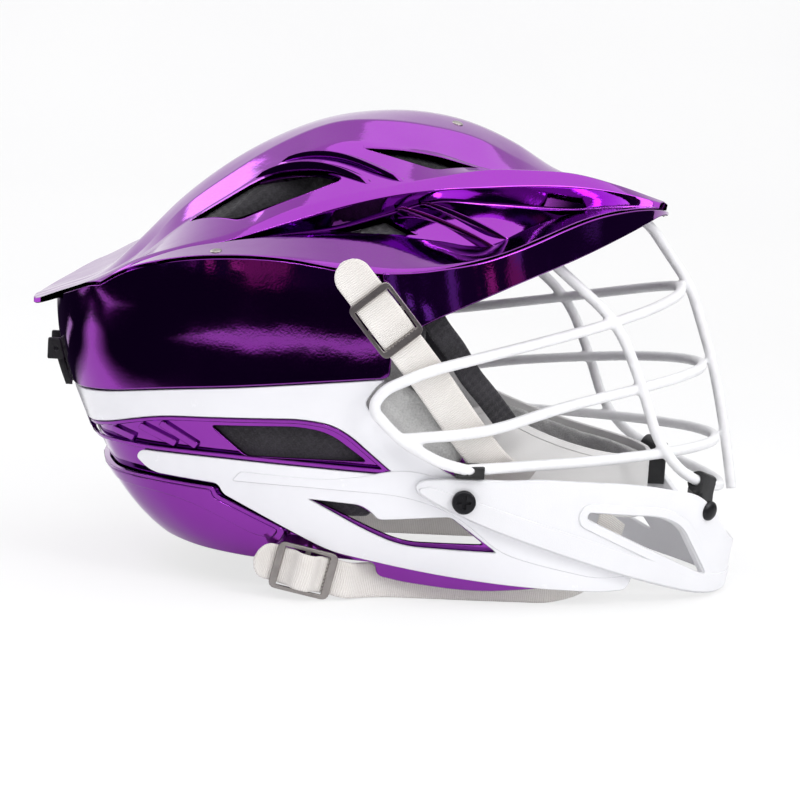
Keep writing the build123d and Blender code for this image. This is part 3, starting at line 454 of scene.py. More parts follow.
def skin(offset):
    """Place on the egg-shaped body, by the way along its plan and the height, at an offset outwards."""
    def place(u, v):
        way = np.clip(u / plan_length, 0.0, 1.0)
        rear, front = rear_of(v) - offset, front_of(v) + offset
        across = -plan.across(way) * (width_of(v) + offset)
        return np.stack([rear + plan.along(way) * (front - rear), across, v], -1)
    return place


def skin_place(x, z, offset, gap=0.0):
    """Way along the plan and height of a place seen from the side."""
    rear, front = rear_of(z) - offset, front_of(z) + offset
    way = plan.way(np.clip((x - rear) / (front - rear), 0.0, 1.0))
    if gap:
        share = gap / (width_of(z) + offset)
        first = int(np.argmax(plan.widths > share))
        way = max(way, plan.ways[first])
    return way * plan_length, z


# Outlines

def rounded(points, radius=3.0, step=1.6, soft=38.0):
    """Closed outline with its corners rounded, and its slight bends smoothed into curves, in short steps."""
    points = [np.array(p, float) for p in points]
    made = []
    count = len(points)
    for index in range(count):
        before, here, after = points[index - 1], points[index], points[(index + 1) % count]
        into, out = here - before, after - here
        turn = math.degrees(abs(math.atan2(into[0] * out[1] - into[1] * out[0], into @ out)))
        reach = min(np.hypot(*into), np.hypot(*out)) * 0.49
        slight = turn < soft
        cut = reach if slight else min(radius, reach)
        start = here - into / np.hypot(*into) * cut
        end = here + out / np.hypot(*out) * cut
        for s in np.linspace(0.0, 1.0, 7 if slight else 5):
            made.append(start * (1 - s) ** 2 + here * 2 * s * (1 - s) + end * s * s)
    dense = []
    for first, second in zip(made, made[1:] + made[:1]):
        parts = max(1, int(np.hypot(*(second - first)) / step))
        for part in range(parts):
            dense.append(first + (second - first) * part / parts)
    return dense


def sized(shares):
    """Lengths of places seen from the side that are given in shares."""
    return [(x * half_length, z * crown_height) for x, z in shares]


def in_shares(points):
    return [(x / half_length, z / crown_height) for x, z in points]


least_edge = 0.12


def clean_loop(points, clockwise=False):
    """Loop without doubled points, anticlockwise for an outline and clockwise for a hole."""
    kept = []
    for point in points:
        if not kept or np.hypot(*(np.array(point) - kept[-1])) > least_edge:
            kept.append(np.array(point, float))
    while len(kept) > 3 and np.hypot(*(kept[0] - kept[-1])) < least_edge:
        kept.pop()
    loop = np.array(kept)
    turned = np.roll(loop, -1, axis=0)
    area = (loop[:, 0] * turned[:, 1] - turned[:, 0] * loop[:, 1]).sum()
    return loop[::-1] if (area < 0) != clockwise else loop


def inside(points, loop):
    """Which points lie inside a closed loop."""
    x, y = points[:, 0][:, None], points[:, 1][:, None]
    x0, y0 = loop[:, 0][None], loop[:, 1][None]
    x1, y1 = np.roll(loop[:, 0], -1)[None], np.roll(loop[:, 1], -1)[None]
    crosses = (y0 > y) != (y1 > y)
    with np.errstate(divide="ignore", invalid="ignore"):
        left = x < (x1 - x0) * (y - y0) / (y1 - y0) + x0
    return (crosses & left).sum(axis=1) % 2 == 1


def within(points, loops):
    """Which points lie inside the first loop and outside the others."""
    keep = inside(points, loops[0])
    for hole in loops[1:]:
        keep &= ~inside(points, hole)
    return keep


def away_from(points, loop):
    """Distance of each point from a closed loop."""
    a = loop[None]
    b = np.roll(loop, -1, axis=0)[None]
    run = b - a
    p = points[:, None]
    s = np.clip(((p - a) * run).sum(-1) / np.maximum((run * run).sum(-1), 1e-9), 0, 1)
    near = a + run * s[..., None]
    return np.sqrt(((p - near) ** 2).sum(-1)).min(axis=1)


def drawn_in(loop, amount, middle):
    """Loop drawn in by an amount, sliding along the middle plane where it meets it."""
    before, after = np.roll(loop, 1, axis=0), np.roll(loop, -1, axis=0)
    into, out = loop - before, after - loop
    into /= np.maximum(np.hypot(into[:, 0], into[:, 1]), 1e-9)[:, None]
    out /= np.maximum(np.hypot(out[:, 0], out[:, 1]), 1e-9)[:, None]
    left_in = np.stack([-into[:, 1], into[:, 0]], -1)
    left_out = np.stack([-out[:, 1], out[:, 0]], -1)
    edge_in, edge_out = middle & np.roll(middle, 1), middle & np.roll(middle, -1)
    moved = loop.copy()
    for index in range(len(loop)):
        if edge_in[index] and edge_out[index]:
            continue
        if edge_in[index]:
            moved[index] -= into[index] * amount
        elif edge_out[index]:
            moved[index] += out[index] * amount
        else:
            across = left_in[index] + left_out[index]
            size = max(across @ across / 2, 0.35)
            moved[index] += across / size * amount
    return moved


# Plates: a shell's wall between two surfaces inside an outline, with eased edges

on_middle = 0.02


def surface_normals(place, points):
    step = 0.35
    u, v = points[:, 0], points[:, 1]
    along = place(u + step, v) - place(u - step, v)
    up = place(u, v + step) - place(u, v - step)
    normal = np.cross(along, up)
    return normal / np.maximum(np.linalg.norm(normal, axis=1), 1e-9)[:, None]


def lattice(loop, spacing):
    """Staggered rows of places over a loop's reach."""
    low, high = loop.min(axis=0), loop.max(axis=0)
    rise = spacing * 0.866
    spots = []
    for row in range(int((high[1] - low[1]) / rise) + 1):
        shift = spacing / 2 if row % 2 else 0.0
        for column in range(int((high[0] - low[0]) / spacing) + 2):
            spots.append((low[0] + shift + column * spacing, low[1] + row * rise))
    return spots


def plate(outline, holes, outer, inner, ease=0.5, spacing=3.2, rows=(), spots=None):
    """Right half of a wall: its points, faces and normals."""
    loops = [clean_loop(outline)] + [clean_loop(hole, clockwise=True) for hole in holes]
    middles = [np.abs(outer(loop[:, 0], loop[:, 1])[:, 1]) < on_middle for loop in loops]
    spots = np.array(lattice(loops[0], spacing) if spots is None else spots, float)
    keep = within(spots, loops)
    numbers = np.full(len(spots), -1)
    for loop in loops:
        keep[keep] &= away_from(spots[keep], loop) > max(0.9, ease * 1.6)
    start = sum(len(loop) for loop in loops)
    numbers[keep] = start + np.arange(keep.sum())
    vertices = np.concatenate(loops + [spots[keep]])
    edges, at = [], 0
    for loop in loops:
        edges += [(at + i, at + (i + 1) % len(loop)) for i in range(len(loop))]
        at += len(loop)
    for row in rows:
        for first, second in zip(row, row[1:]):
            if numbers[first] >= 0 and numbers[second] >= 0:
                edges.append((int(numbers[first]), int(numbers[second])))
    made, _, triangles, origins, _, _ = delaunay_2d_cdt([Vector(v) for v in vertices], edges, [], 0, 0.0005)
    flat = np.array([tuple(v) for v in made])
    triangles = np.array([t for t in triangles if len(t) == 3])
    triangles = triangles[within(flat[triangles].mean(axis=1), loops)]
    a, b, c = flat[triangles[:, 0]], flat[triangles[:, 1]], flat[triangles[:, 2]]
    turn = (b[:, 0] - a[:, 0]) * (c[:, 1] - a[:, 1]) - (b[:, 1] - a[:, 1]) * (c[:, 0] - a[:, 0])
    triangles[turn < 0] = triangles[turn < 0][:, ::-1]
    number = {}
    for index, sources in enumerate(origins):
        for source in sources:
            number[source] = index
    drawn = flat.copy()
    at = 0
    for loop, middle in zip(loops, middles):
        moved = drawn_in(loop, ease, middle)
        for index in range(len(loop)):
            drawn[number[at + index]] = moved[index]
        at += len(loop)
    outside, under = outer(drawn[:, 0], drawn[:, 1]), inner(drawn[:, 0], drawn[:, 1])
    outward = surface_normals(outer, drawn)
    points = [outside, under]
    normals = [outward, -outward]
    count = len(flat)
    faces = [tuple(t) for t in triangles] + [(t[2] + count, t[1] + count, t[0] + count) for t in triangles]
    base, at = 2 * count, 0
    for loop, middle in zip(loops, middles):
        size = len(loop)
        top, bottom = outer(loop[:, 0], loop[:, 1]), inner(loop[:, 0], loop[:, 1])
        thick = np.maximum(np.linalg.norm(top - bottom, axis=1), 0.2)[:, None]
        share = np.minimum(ease / thick, 0.4)
        ids = [number[at + index] for index in range(size)]
        side = top - outside[ids]
        side /= np.maximum(np.linalg.norm(side, axis=1), 1e-6)[:, None]
        side[middle] *= (1.0, 0.0, 1.0)
        points += [top + (bottom - top) * share, bottom + (top - bottom) * share]
        normals += [side, side]
        for index in range(size):
            after = (index + 1) % size
            if middle[index] and middle[after]:
                continue
            i, j = ids[index], ids[after]
            p, q = base + index, base + after
            faces += [(i, p, q, j), (p, p + size, q + size, q), (p + size, i + count, j + count, q + size)]
        base += 2 * size
        at += size
    return np.concatenate(points), faces, np.concatenate(normals)


def mirrored(half):
    points, faces, normals = half
    return points * (1, -1, 1), [tuple(reversed(face)) for face in faces], normals * (1, -1, 1)


def whole(half):
    """Half and its mirror image, sewn together on the middle plane."""
    points, faces, normals = half
    count = len(points)
    all_points = np.concatenate([points, points * (1, -1, 1)])
    all_normals = np.concatenate([normals, normals * (1, -1, 1)])
    faces = list(faces) + [tuple(index + count for index in reversed(face)) for face in faces]
    seen, target = {}, np.arange(2 * count)
    for index in np.nonzero(np.abs(all_points[:, 1]) < on_middle)[0]:
        all_points[index, 1] = 0.0
        key = tuple(np.round(all_points[index], 2))
        if key in seen:
            target[index] = seen[key]
            all_normals[seen[key]] += all_normals[index]
        else:
            seen[key] = index
    used = np.unique(target)
    renumber = np.zeros(2 * count, int)
    renumber[used] = np.arange(len(used))
    sewn = []
    for face in faces:
        ids = [int(renumber[target[index]]) for index in face]
        ids = [i for k, i in enumerate(ids) if i != ids[k - 1]]
        if len(set(ids)) > 2 and len(set(ids)) == len(ids):
            sewn.append(tuple(ids))
    kept = all_normals[used]
    kept /= np.maximum(np.linalg.norm(kept, axis=1), 1e-6)[:, None]
    return all_points[used], sewn, kept


def joined(*parts):
    """Several shapes as one."""
    points, faces, normals, count = [], [], [], 0
    for part_points, part_faces, part_normals in parts:
        points.append(part_points)
        normals.append(part_normals)
        faces += [tuple(index + count for index in face) for face in part_faces]
        count += len(part_points)
    return np.concatenate(points), faces, np.concatenate(normals)


hole_radius = 2.2


def skin_loop(shares, offset, gap=0.0, radius=3.0):
    """Outline with rounded corners laid on the body."""
    return [skin_place(x, z, offset, gap) for x, z in rounded(sized(shares), radius)]


def laid(shares, offset, gap=0.0):
    """Smooth outline laid on the body as it is."""
    return [skin_place(x, z, offset, gap) for x, z in sized(shares)]


def skin_plate(shares, holes, out, inner, gap=0.0, radius=3.0, ease=0.5, spacing=3.2):
    """Right half of a plate that follows the body, from outlines seen from the side."""
    cuts = [skin_loop(hole, out, gap, min(radius, hole_radius)) for hole in holes]
    return plate(skin_loop(shares, out, gap, radius), cuts, skin(out), skin(inner), ease, spacing)


def pair(name, half, slot, nodes=None):
    """The right piece and its mirror image on the left."""
    for side, (points, faces, normals) in (("_right", half), ("_left", mirrored(half))):
        add_piece(name + side, points, faces, slot, "helmet", (nodes + side,) if nodes else (), normals)


def single(name, shape, slot, nodes, body="helmet"):
    points, faces, normals = shape
    add_piece(name, points, faces, slot, body, nodes, normals)


def disc(share, radius, steps=20):
    """Round outline about a place."""
    x, z = sized([share])[0]
    turns = [math.tau * index / steps for index in range(steps)]
    return in_shares([(x + radius * math.cos(turn), z + radius * math.sin(turn)) for turn in turns])


# Shell pieces that follow the body

panel_shares = [
    (-0.95, 0.384), (-0.84, 0.390), (-0.65, 0.417), (-0.45, 0.435), (-0.26, 0.455), (-0.095, 0.472),
    (-0.118, 0.458), (-0.147, 0.420), (-0.07, 0.355), (0.06, 0.294), (0.14, 0.266), (0.21, 0.215),
    (0.41, 0.145), (0.61, 0.070), (0.595, 0.035), (0.52, 0.033), (0.24, 0.051), (0.035, 0.070),
    (-0.20, 0.103), (-0.276, 0.131), (-0.482, 0.210), (-0.495, 0.231), (-0.665, 0.238), (-0.706, 0.266),
    (-0.694, 0.2835), (-0.506, 0.2855), (-0.053, 0.2765), (-0.176, 0.355), (-0.224, 0.374), (-0.30, 0.381),
    (-0.67, 0.362), (-0.818, 0.322), (-0.95, 0.295),
]
window_shares = [
    (-0.90, 0.285), (-0.71, 0.285), (-0.506, 0.287), (-0.053, 0.278), (-0.176, 0.355), (-0.224, 0.374),
    (-0.30, 0.381), (-0.67, 0.362), (-0.818, 0.322), (-0.90, 0.309),
]
pane_shares = [(-0.52, 0.350), (-0.30, 0.362), (-0.224, 0.353), (-0.128, 0.300), (-0.43, 0.294)]
jaw_vent_shares = [
    (-0.27, 0.215), (-0.135, 0.210), (-0.106, 0.196), (-0.088, 0.180), (0.094, 0.196), (0.224, 0.1215),
    (-0.024, 0.126), (-0.118, 0.154),
]
jaw_inner_vent_shares = [
    (-0.255, 0.213), (-0.137, 0.206), (-0.108, 0.193), (-0.090, 0.184), (0.094, 0.194), (0.190, 0.136),
    (-0.020, 0.134), (-0.112, 0.162),
]
jaw_shares = [
    (-1.00, 0.51), (-0.10, 0.52), (-0.106, 0.481), (-0.135, 0.458), (-0.165, 0.420), (-0.088, 0.350),
    (0.047, 0.285), (0.130, 0.257), (0.21, 0.206), (0.353, 0.140), (0.365, 0.042), (0.17, 0.028),
    (-0.012, 0.042), (-0.075, 0.052), (-0.082, 0.082), (-0.21, 0.086), (-0.24, 0.079), (-0.353, 0.080),
    (-0.47, 0.085), (-0.52, 0.150), (-0.62, 0.200), (-1.00, 0.220),
]
window_rib_shares = [((-0.770, 0.316), (-0.712, 0.304)), ((-0.70, 0.334), (-0.605, 0.304)),
                     ((-0.648, 0.345), (-0.552, 0.304))]
tail_shares = [
    (-1.00, 0.227), (-0.665, 0.2285), (-0.505, 0.2235), (-0.495, 0.2065), (-0.315, 0.143), (-0.325, 0.118),
    (-0.38, 0.072), (-0.424, 0.073), (-0.553, 0.079), (-0.635, 0.093), (-1.00, 0.10),
]
visor_shares = [
    (-0.128, 0.682), (-0.04, 0.687), (0.12, 0.710), (0.235, 0.743), (0.355, 0.785), (0.45, 0.812),
    (0.56, 0.826), (0.64, 0.827), (0.72, 0.815), (0.80, 0.80), (0.80, 0.787), (0.66, 0.815), (0.60, 0.797),
    (0.50, 0.762), (0.38, 0.720), (0.25, 0.680), (0.12, 0.635), (0.02, 0.598), (-0.03, 0.575),
    (-0.084, 0.572),
]
guard_shares = [
    (-0.008, 0.262), (0.012, 0.274), (0.106, 0.282), (0.235, 0.279), (0.312, 0.283), (0.594, 0.269),
    (0.782, 0.239), (0.847, 0.197), (0.894, 0.145), (0.947, 0.108), (1.06, 0.098), (1.06, 0.002),
    (0.86, 0.002), (0.63, 0.056), (0.39, 0.1215), (0.17, 0.182), (0.035, 0.229), (0.0, 0.246),
]
guard_vent_shares = [(0.453, 0.2125), (0.665, 0.196), (0.73, 0.173), (0.83, 0.056), (0.45, 0.201)]
guard_screw_share = (0.118, 0.234)
crown_wall_shares = [(-0.13, 0.684), (-0.088, 0.57), (-0.088, 0.475), (-0.26, 0.458), (-0.45, 0.438),
                     (-0.65, 0.42), (-0.84, 0.393), (-1.15, 0.385)]

panel_out, panel_in = 0.0, -2.6
jaw_out, jaw_in = -3.1, -5.7
tail_out, tail_in = 0.8, -2.2
guard_out, guard_in = 3.7, 0.5
visor_out, visor_in = 1.4, -1.6
crown_out, crown_in = 0.8, -2.2

panel_gap = 24.0
rib_width, rib_proud, rib_sink = 3.2, 1.6, 1.2
band_proud, band_sink = 0.7, 0.8
trim_out, trim_in, trim_edge, trim_width = -0.3, -2.3, 0.3, 2.1
guard_rim_width = 4.5

screw_hole = disc(guard_screw_share, 2.7)
side_panel = skin_plate(panel_shares, [jaw_vent_shares, screw_hole], panel_out, panel_in, panel_gap)
pair("side_panel_skin", side_panel, "white_gloss", "side_panel")


def bar(start, end, width):
    """Outline of a straight bar between two places."""
    (x0, z0), (x1, z1) = sized([start, end])
    along = np.array([x1 - x0, z1 - z0]) / math.hypot(x1 - x0, z1 - z0) * width / 2
    across = np.array([along[1], -along[0]])
    corners = [(x0, z0) + across, (x0, z0) - across, (x1, z1) - across, (x1, z1) + across]
    return in_shares(corners)


jaw = skin_plate(jaw_shares, [pane_shares, jaw_inner_vent_shares, screw_hole], jaw_out, jaw_in)
ribs = [skin_plate(bar(start, end, rib_width), [], jaw_out + rib_proud, jaw_in + rib_sink,
                   radius=0.8, ease=0.45, spacing=1.6)
        for start, end in window_rib_shares]
single("jaw_shell_skin", whole(joined(jaw, *ribs)), "chrome_violet", ("jaw_shell",))

tail_band_shares = [
    (-1.00, 0.2205), (-0.665, 0.222), (-0.512, 0.217), (-0.505, 0.200), (-0.335, 0.142), (-0.35, 0.122),
    (-0.40, 0.128), (-0.52, 0.172), (-0.62, 0.196), (-1.00, 0.203),
]
tail_plate = skin_plate(tail_shares, [], tail_out, tail_in)
band = skin_plate(tail_band_shares, [], tail_out + band_proud, tail_out - band_sink, ease=0.55, radius=2.0)
single("tail_skin", whole(joined(tail_plate, band)), "chrome_violet", ("tail",), "tail")
visor = skin_plate(visor_shares, [], visor_out, visor_in, ease=0.7, radius=2.0)
single("visor_skin", whole(visor), "chrome_violet", ("visor",))


def loop_inside(points, amount):
    """Outline drawn in by an amount, in shares."""
    loop = clean_loop(rounded(sized(points), 2.5))
    return in_shares(drawn_in(loop, amount, np.zeros(len(loop), bool)))


trim_loops = [laid(loop_inside(window_shares, amount), trim_out, panel_gap)
              for amount in (trim_edge, trim_width)]
trim = plate(trim_loops[0], trim_loops[1:], skin(trim_out), skin(trim_in), 0.45)
pair("window_trim_skin", trim, "chrome_violet", "window_trim")

guard_wall = skin_plate(guard_shares, [guard_vent_shares, screw_hole], guard_out, guard_in, ease=0.7)
single("chin_guard_skin", whole(guard_wall), "white_satin", ("chin_guard",))


# Crown: the ridged roof over the body, its wall below, its fins and its vents

station_shares = [-1.05, -0.93, -0.82, -0.73, -0.62, -0.50, -0.36, -0.22, -0.10, 0.03, 0.16, 0.28, 0.40, 0.52,
                  0.66, 0.84]
ridge_top_shares = [
    (-1.05, 0, 0.54), (-0.90, 0, 0.585), (-0.80, 0, 0.622), (-0.70, 0, 0.71), (-0.57, 0, 0.822),
    (-0.44, 0, 0.893), (-0.31, 0, 0.953), (-0.18, 0, 0.986), (-0.04, 0, 1.0), (0.095, 0, 0.995),
    (0.235, 0, 0.963), (0.395, 0, 0.893), (0.48, 0, 0.872), (0.60, 0, 0.855), (0.70, 0, 0.836),
    (0.84, 0, 0.81),
]
ridge_crease_shares = [
    (-1.05, 0.12, 0.54), (-0.90, 0.14, 0.585), (-0.80, 0.15, 0.62), (-0.735, 0.155, 0.655),
    (-0.62, 0.17, 0.76), (-0.52, 0.18, 0.827), (-0.42, 0.19, 0.888), (-0.265, 0.21, 0.958),
    (-0.17, 0.22, 0.972), (-0.05, 0.23, 0.977), (0.05, 0.22, 0.967), (0.165, 0.20, 0.948),
    (0.24, 0.19, 0.925), (0.32, 0.17, 0.893), (0.40, 0.15, 0.872), (0.52, 0.12, 0.862),
    (0.70, 0.10, 0.834), (0.84, 0.10, 0.808),
]
ridge_foot_shares = [
    (-1.05, 0.22, 0.54), (-0.90, 0.24, 0.588), (-0.80, 0.25, 0.622), (-0.70, 0.265, 0.668),
    (-0.595, 0.29, 0.748), (-0.49, 0.32, 0.804), (-0.38, 0.34, 0.865), (-0.28, 0.355, 0.915),
    (-0.20, 0.365, 0.925), (-0.06, 0.385, 0.925), (0.07, 0.38, 0.911), (0.18, 0.36, 0.883),
    (0.30, 0.29, 0.872), (0.40, 0.22, 0.864), (0.52, 0.18, 0.857), (0.70, 0.15, 0.832), (0.84, 0.14, 0.806),
]
blade_top_shares = [
    (-1.05, 0.62, 0.555), (-0.90, 0.62, 0.60), (-0.80, 0.62, 0.634), (-0.72, 0.63, 0.672),
    (-0.635, 0.641, 0.696), (-0.55, 0.641, 0.715), (-0.47, 0.65, 0.736), (-0.40, 0.65, 0.764),
    (-0.33, 0.65, 0.79), (-0.20, 0.64, 0.822), (-0.07, 0.622, 0.848), (0.065, 0.584, 0.874),
    (0.16, 0.545, 0.888), (0.295, 0.49, 0.893), (0.41, 0.44, 0.890), (0.50, 0.40, 0.876),
    (0.60, 0.36, 0.855), (0.70, 0.33, 0.832), (0.84, 0.31, 0.804),
]
blade_lip_shares = [
    (-1.05, 0.66, 0.552), (-0.90, 0.66, 0.597), (-0.80, 0.66, 0.630), (-0.72, 0.66, 0.667),
    (-0.635, 0.665, 0.690), (-0.55, 0.672, 0.707), (-0.47, 0.685, 0.724), (-0.38, 0.69, 0.750),
    (-0.30, 0.69, 0.776), (-0.20, 0.685, 0.802), (-0.07, 0.665, 0.830), (0.03, 0.645, 0.842),
    (0.14, 0.60, 0.850), (0.25, 0.555, 0.858), (0.35, 0.51, 0.863), (0.47, 0.46, 0.861),
    (0.56, 0.42, 0.853), (0.70, 0.375, 0.829), (0.84, 0.355, 0.802),
]
channel_root_shares = [
    (-1.05, 0.68, 0.549), (-0.90, 0.68, 0.594), (-0.80, 0.68, 0.626), (-0.72, 0.675, 0.661),
    (-0.635, 0.67, 0.684), (-0.57, 0.655, 0.697), (-0.40, 0.625, 0.730), (-0.26, 0.60, 0.743),
    (-0.16, 0.584, 0.766), (-0.10, 0.574, 0.785), (-0.03, 0.565, 0.812), (0.06, 0.54, 0.820),
    (0.195, 0.505, 0.818), (0.375, 0.455, 0.813), (0.48, 0.435, 0.822), (0.60, 0.415, 0.833),
    (0.70, 0.40, 0.826), (0.84, 0.385, 0.80),
]
channel_lip_shares = [
    (-1.05, 0.72, 0.55), (-0.90, 0.72, 0.597), (-0.80, 0.72, 0.632), (-0.72, 0.72, 0.666),
    (-0.59, 0.715, 0.705), (-0.405, 0.73, 0.731), (-0.265, 0.746, 0.743), (-0.035, 0.727, 0.748),
    (0.06, 0.71, 0.738), (0.165, 0.67, 0.735), (0.235, 0.64, 0.748), (0.29, 0.61, 0.785),
    (0.36, 0.565, 0.806), (0.46, 0.51, 0.820), (0.60, 0.455, 0.834), (0.70, 0.435, 0.826), (0.84, 0.42, 0.80),
]
roof_edge_shares = [
    (-1.05, 0.86, 0.553), (-0.90, 0.82, 0.602), (-0.80, 0.82, 0.642), (-0.69, 0.83, 0.673),
    (-0.58, 0.88, 0.692), (-0.43, 0.93, 0.702), (-0.30, 0.955, 0.700), (-0.14, 0.985, 0.688),
    (-0.04, 0.995, 0.692), (0.12, 0.976, 0.715), (0.235, 0.92, 0.748), (0.355, 0.83, 0.79),
    (0.45, 0.737, 0.817), (0.56, 0.61, 0.831), (0.64, 0.55, 0.832), (0.72, 0.52, 0.820), (0.84, 0.50, 0.795),
]
roof_skirt_shares = [
    (-1.05, 1.10, 0.555), (-0.80, 1.10, 0.652), (-0.58, 1.10, 0.690), (-0.43, 1.10, 0.680),
    (-0.30, 1.10, 0.655), (-0.14, 1.12, 0.62), (0.12, 1.12, 0.655), (0.355, 1.05, 0.745),
    (0.56, 0.95, 0.790), (0.72, 0.85, 0.77), (0.84, 0.85, 0.745),
]
spoiler_plan_shares = [
    (0.0, 0.0), (0.004, 0.12), (0.02, 0.27), (0.046, 0.41), (0.08, 0.56), (0.12, 0.69), (0.18, 0.81),
    (0.25, 0.875), (0.33, 0.925), (0.44, 0.97), (0.53, 0.98), (0.75, 0.85), (0.93, 0.50), (1.0, 0.0),
]
rear_vent_shares = [(-0.60, 0.305), (-0.38, 0.365), (-0.21, 0.555), (-0.33, 0.59), (-0.47, 0.57)]
front_vent_shares = [(-0.16, 0.40), (0.07, 0.41), (0.19, 0.39), (0.12, 0.475), (0.03, 0.53), (-0.07, 0.455)]
low_vent_shares = [(-0.255, 0.748), (-0.105, 0.783), (-0.02, 0.752)]
brow_vent_shares = [(0.27, 0.822), (0.44, 0.822), (0.455, 0.812), (0.36, 0.800)]

# Ways across the roof to its rails, from the ridge to the skirt, and how softly the roof bends at each
rail_ways = [0.0, 24.0, 44.0, 70.0, 77.0, 88.0, 111.0, 141.0, 159.0]
rail_bends = [0.0, 1.2, 1.1, 0.7, 0.7, 1.1, 0.8, 1.5, 0.0]
ridge_swell = 1.1
root_rail, lip_rail = 5, 6
under_rails = [0, 1, 2, 5, 6, 7, 8]
roof_thick = 3.0
roof_lean = 0.5


def rail(shares):
    """Half width and height of a rail along the roof, smooth through its stations."""
    table = np.array(shares, float)
    knots = np.array(station_shares)
    y = np.interp(knots, table[:, 0], table[:, 1]) * half_width
    z = np.interp(knots, table[:, 0], table[:, 2]) * crown_height
    return through(knots * half_length, y), through(knots * half_length, z)


rails = [rail(shares) for shares in (ridge_top_shares, ridge_crease_shares, ridge_foot_shares,
                                     blade_top_shares, blade_lip_shares, channel_root_shares,
                                     channel_lip_shares, roof_edge_shares, roof_skirt_shares)]


def straight_roof(x, v, ways, lines):
    """Half width and height on the roof, with straight runs between its rails."""
    v = np.abs(v)
    index = np.clip(np.searchsorted(ways, v, side="right") - 1, 0, len(ways) - 2)
    y, z = np.zeros_like(x), np.zeros_like(x)
    for run in range(len(ways) - 1):
        on = index == run
        if on.any():
            share = (v[on] - ways[run]) / (ways[run + 1] - ways[run])
            (y0, z0), (y1, z1) = lines[run], lines[run + 1]
            y[on] = y0(x[on]) * (1 - share) + y1(x[on]) * share
            z[on] = z0(x[on]) * (1 - share) + z1(x[on]) * share
    return y, z


def roof_top(x, v):
    """Place on the roof's outer face, with soft bends at its rails."""
    x, v = np.atleast_1d(np.asarray(x, float)), np.atleast_1d(np.asarray(v, float))
    y, z = straight_roof(x, v, rail_ways, rails)
    for way, bend in zip(rail_ways, rail_bends):
        on = np.abs(np.abs(v) - way) < bend
        if bend and on.any():
            s = (np.abs(v[on]) - way + bend) / (2 * bend)
            low, mid, high = (straight_roof(x[on], np.full(on.sum(), at), rail_ways, rails)
                              for at in (way - bend, way, way + bend))
            y[on] = low[0] * (1 - s) ** 2 + 2 * mid[0] * s * (1 - s) + high[0] * s * s
            z[on] = low[1] * (1 - s) ** 2 + 2 * mid[1] * s * (1 - s) + high[1] * s * s
    share = np.clip(v / rail_ways[1], 0, 1)
    z += ridge_swell * np.sin(share * math.pi / 2) * (1 - share)
    side = np.where(v < 0, 1.0, -1.0)
    return np.stack([x, side * y, z], -1)


def roof_under(x, v):
    """Place on the roof's inner face, which runs straight under the blades."""
    x, v = np.atleast_1d(np.asarray(x, float)), np.atleast_1d(np.asarray(v, float))
    y, z = straight_roof(x, v, [rail_ways[k] for k in under_rails], [rails[k] for k in under_rails])
    lean = np.where(v > 1.0, roof_thick * roof_lean, 0.0)
    side = np.where(v < 0, 1.0, -1.0)
    return np.stack([x, side * np.maximum(y - lean, 0.0), z - roof_thick], -1)


spoiler_ratio = 2.75
spoiler_plan = Plan(spoiler_plan_shares, spoiler_ratio)
spoiler_rear, spoiler_front, spoiler_end = -170.0, 119.0, -51.0
roof_rear, roof_front = -169.95, 119.8
over_blade = 70.0


def roof_reach(x):
    """Way across the roof to its edge, on the body or on the spoiler lip."""
    ways = np.linspace(0.0, rail_ways[-1], 500)
    points = roof_top(np.full(500, x), ways)
    rear, front = rear_of(points[:, 2]) - crown_out, front_of(points[:, 2]) + crown_out
    width = plan.width((x - rear) / (front - rear)) * (width_of(points[:, 2]) + crown_out)
    if x < spoiler_end:
        lip = float(spoiler_plan.width((x - spoiler_rear) / (spoiler_front - spoiler_rear)) * half_width)
        width = np.maximum(width, lip)
    past = np.abs(points[:, 1]) - width
    first = int(np.argmax(past > 0))
    if first == 0:
        return 0.0
    share = past[first] / (past[first] - past[first - 1])
    return ways[first] - share * (ways[first] - ways[first - 1])


def resampled(points, step):
    """Even points along a line on the plan."""
    points = np.array(points, float)
    runs = np.hypot(*np.diff(points, axis=0).T)
    way = np.concatenate([[0.0], np.cumsum(runs)])
    at = np.linspace(0.0, way[-1], max(2, int(way[-1] / step) + 1))
    return np.stack([np.interp(at, way, points[:, 0]), np.interp(at, way, points[:, 1])], -1)


roof_turns = np.linspace(0.0, math.pi, 420)
roof_xs = roof_rear + (roof_front - roof_rear) * (1 - np.cos(roof_turns)) / 2
edge_ways = [roof_reach(x) for x in roof_xs]
roof_edge = resampled(list(zip(roof_xs, edge_ways)), 1.7)
roof_middle = resampled([(roof_xs[-1], 0.0), (roof_xs[0], 0.0)], 2.5)
roof_outline = [tuple(p) for p in roof_edge] + [tuple(p) for p in roof_middle]


def across_roof(x, y):
    """Way across the roof at a half width, over the ridge and the blade's top."""
    ways = np.linspace(0.0, over_blade, 300)
    return float(np.interp(y, np.abs(roof_top(np.full(300, x), ways)[:, 1]), ways))


def down_channel(x, z):
    """Way across the roof at a height, between the channel's root and its lip."""
    ways = np.linspace(rail_ways[root_rail], rail_ways[lip_rail], 60)
    levels = roof_top(np.full(60, x), ways)[:, 2]
    return float(np.interp(-z, -levels, ways))


# Vents, and the rows of places that follow the creases
root_land, lip_land = 2.4, 1.6
row_gap, crease_land, row_land = 3.4, 0.8, 2.6
first_column, column_count = -169.0, 98

vent_loops = []
for shares in (rear_vent_shares, front_vent_shares):
    corners = rounded([(x * half_length, y * half_width) for x, y in shares], 3.5)
    vent_loops.append([(x, across_roof(x, y)) for x, y in corners])
for shares in (low_vent_shares, brow_vent_shares):
    corners = rounded(sized(shares), 1.6)
    loop = [(x, down_channel(x, z)) for x, z in corners]
    low, high = rail_ways[root_rail] + root_land, rail_ways[lip_rail] - lip_land
    vent_loops.append([(x, min(max(v, low), high)) for x, v in loop])

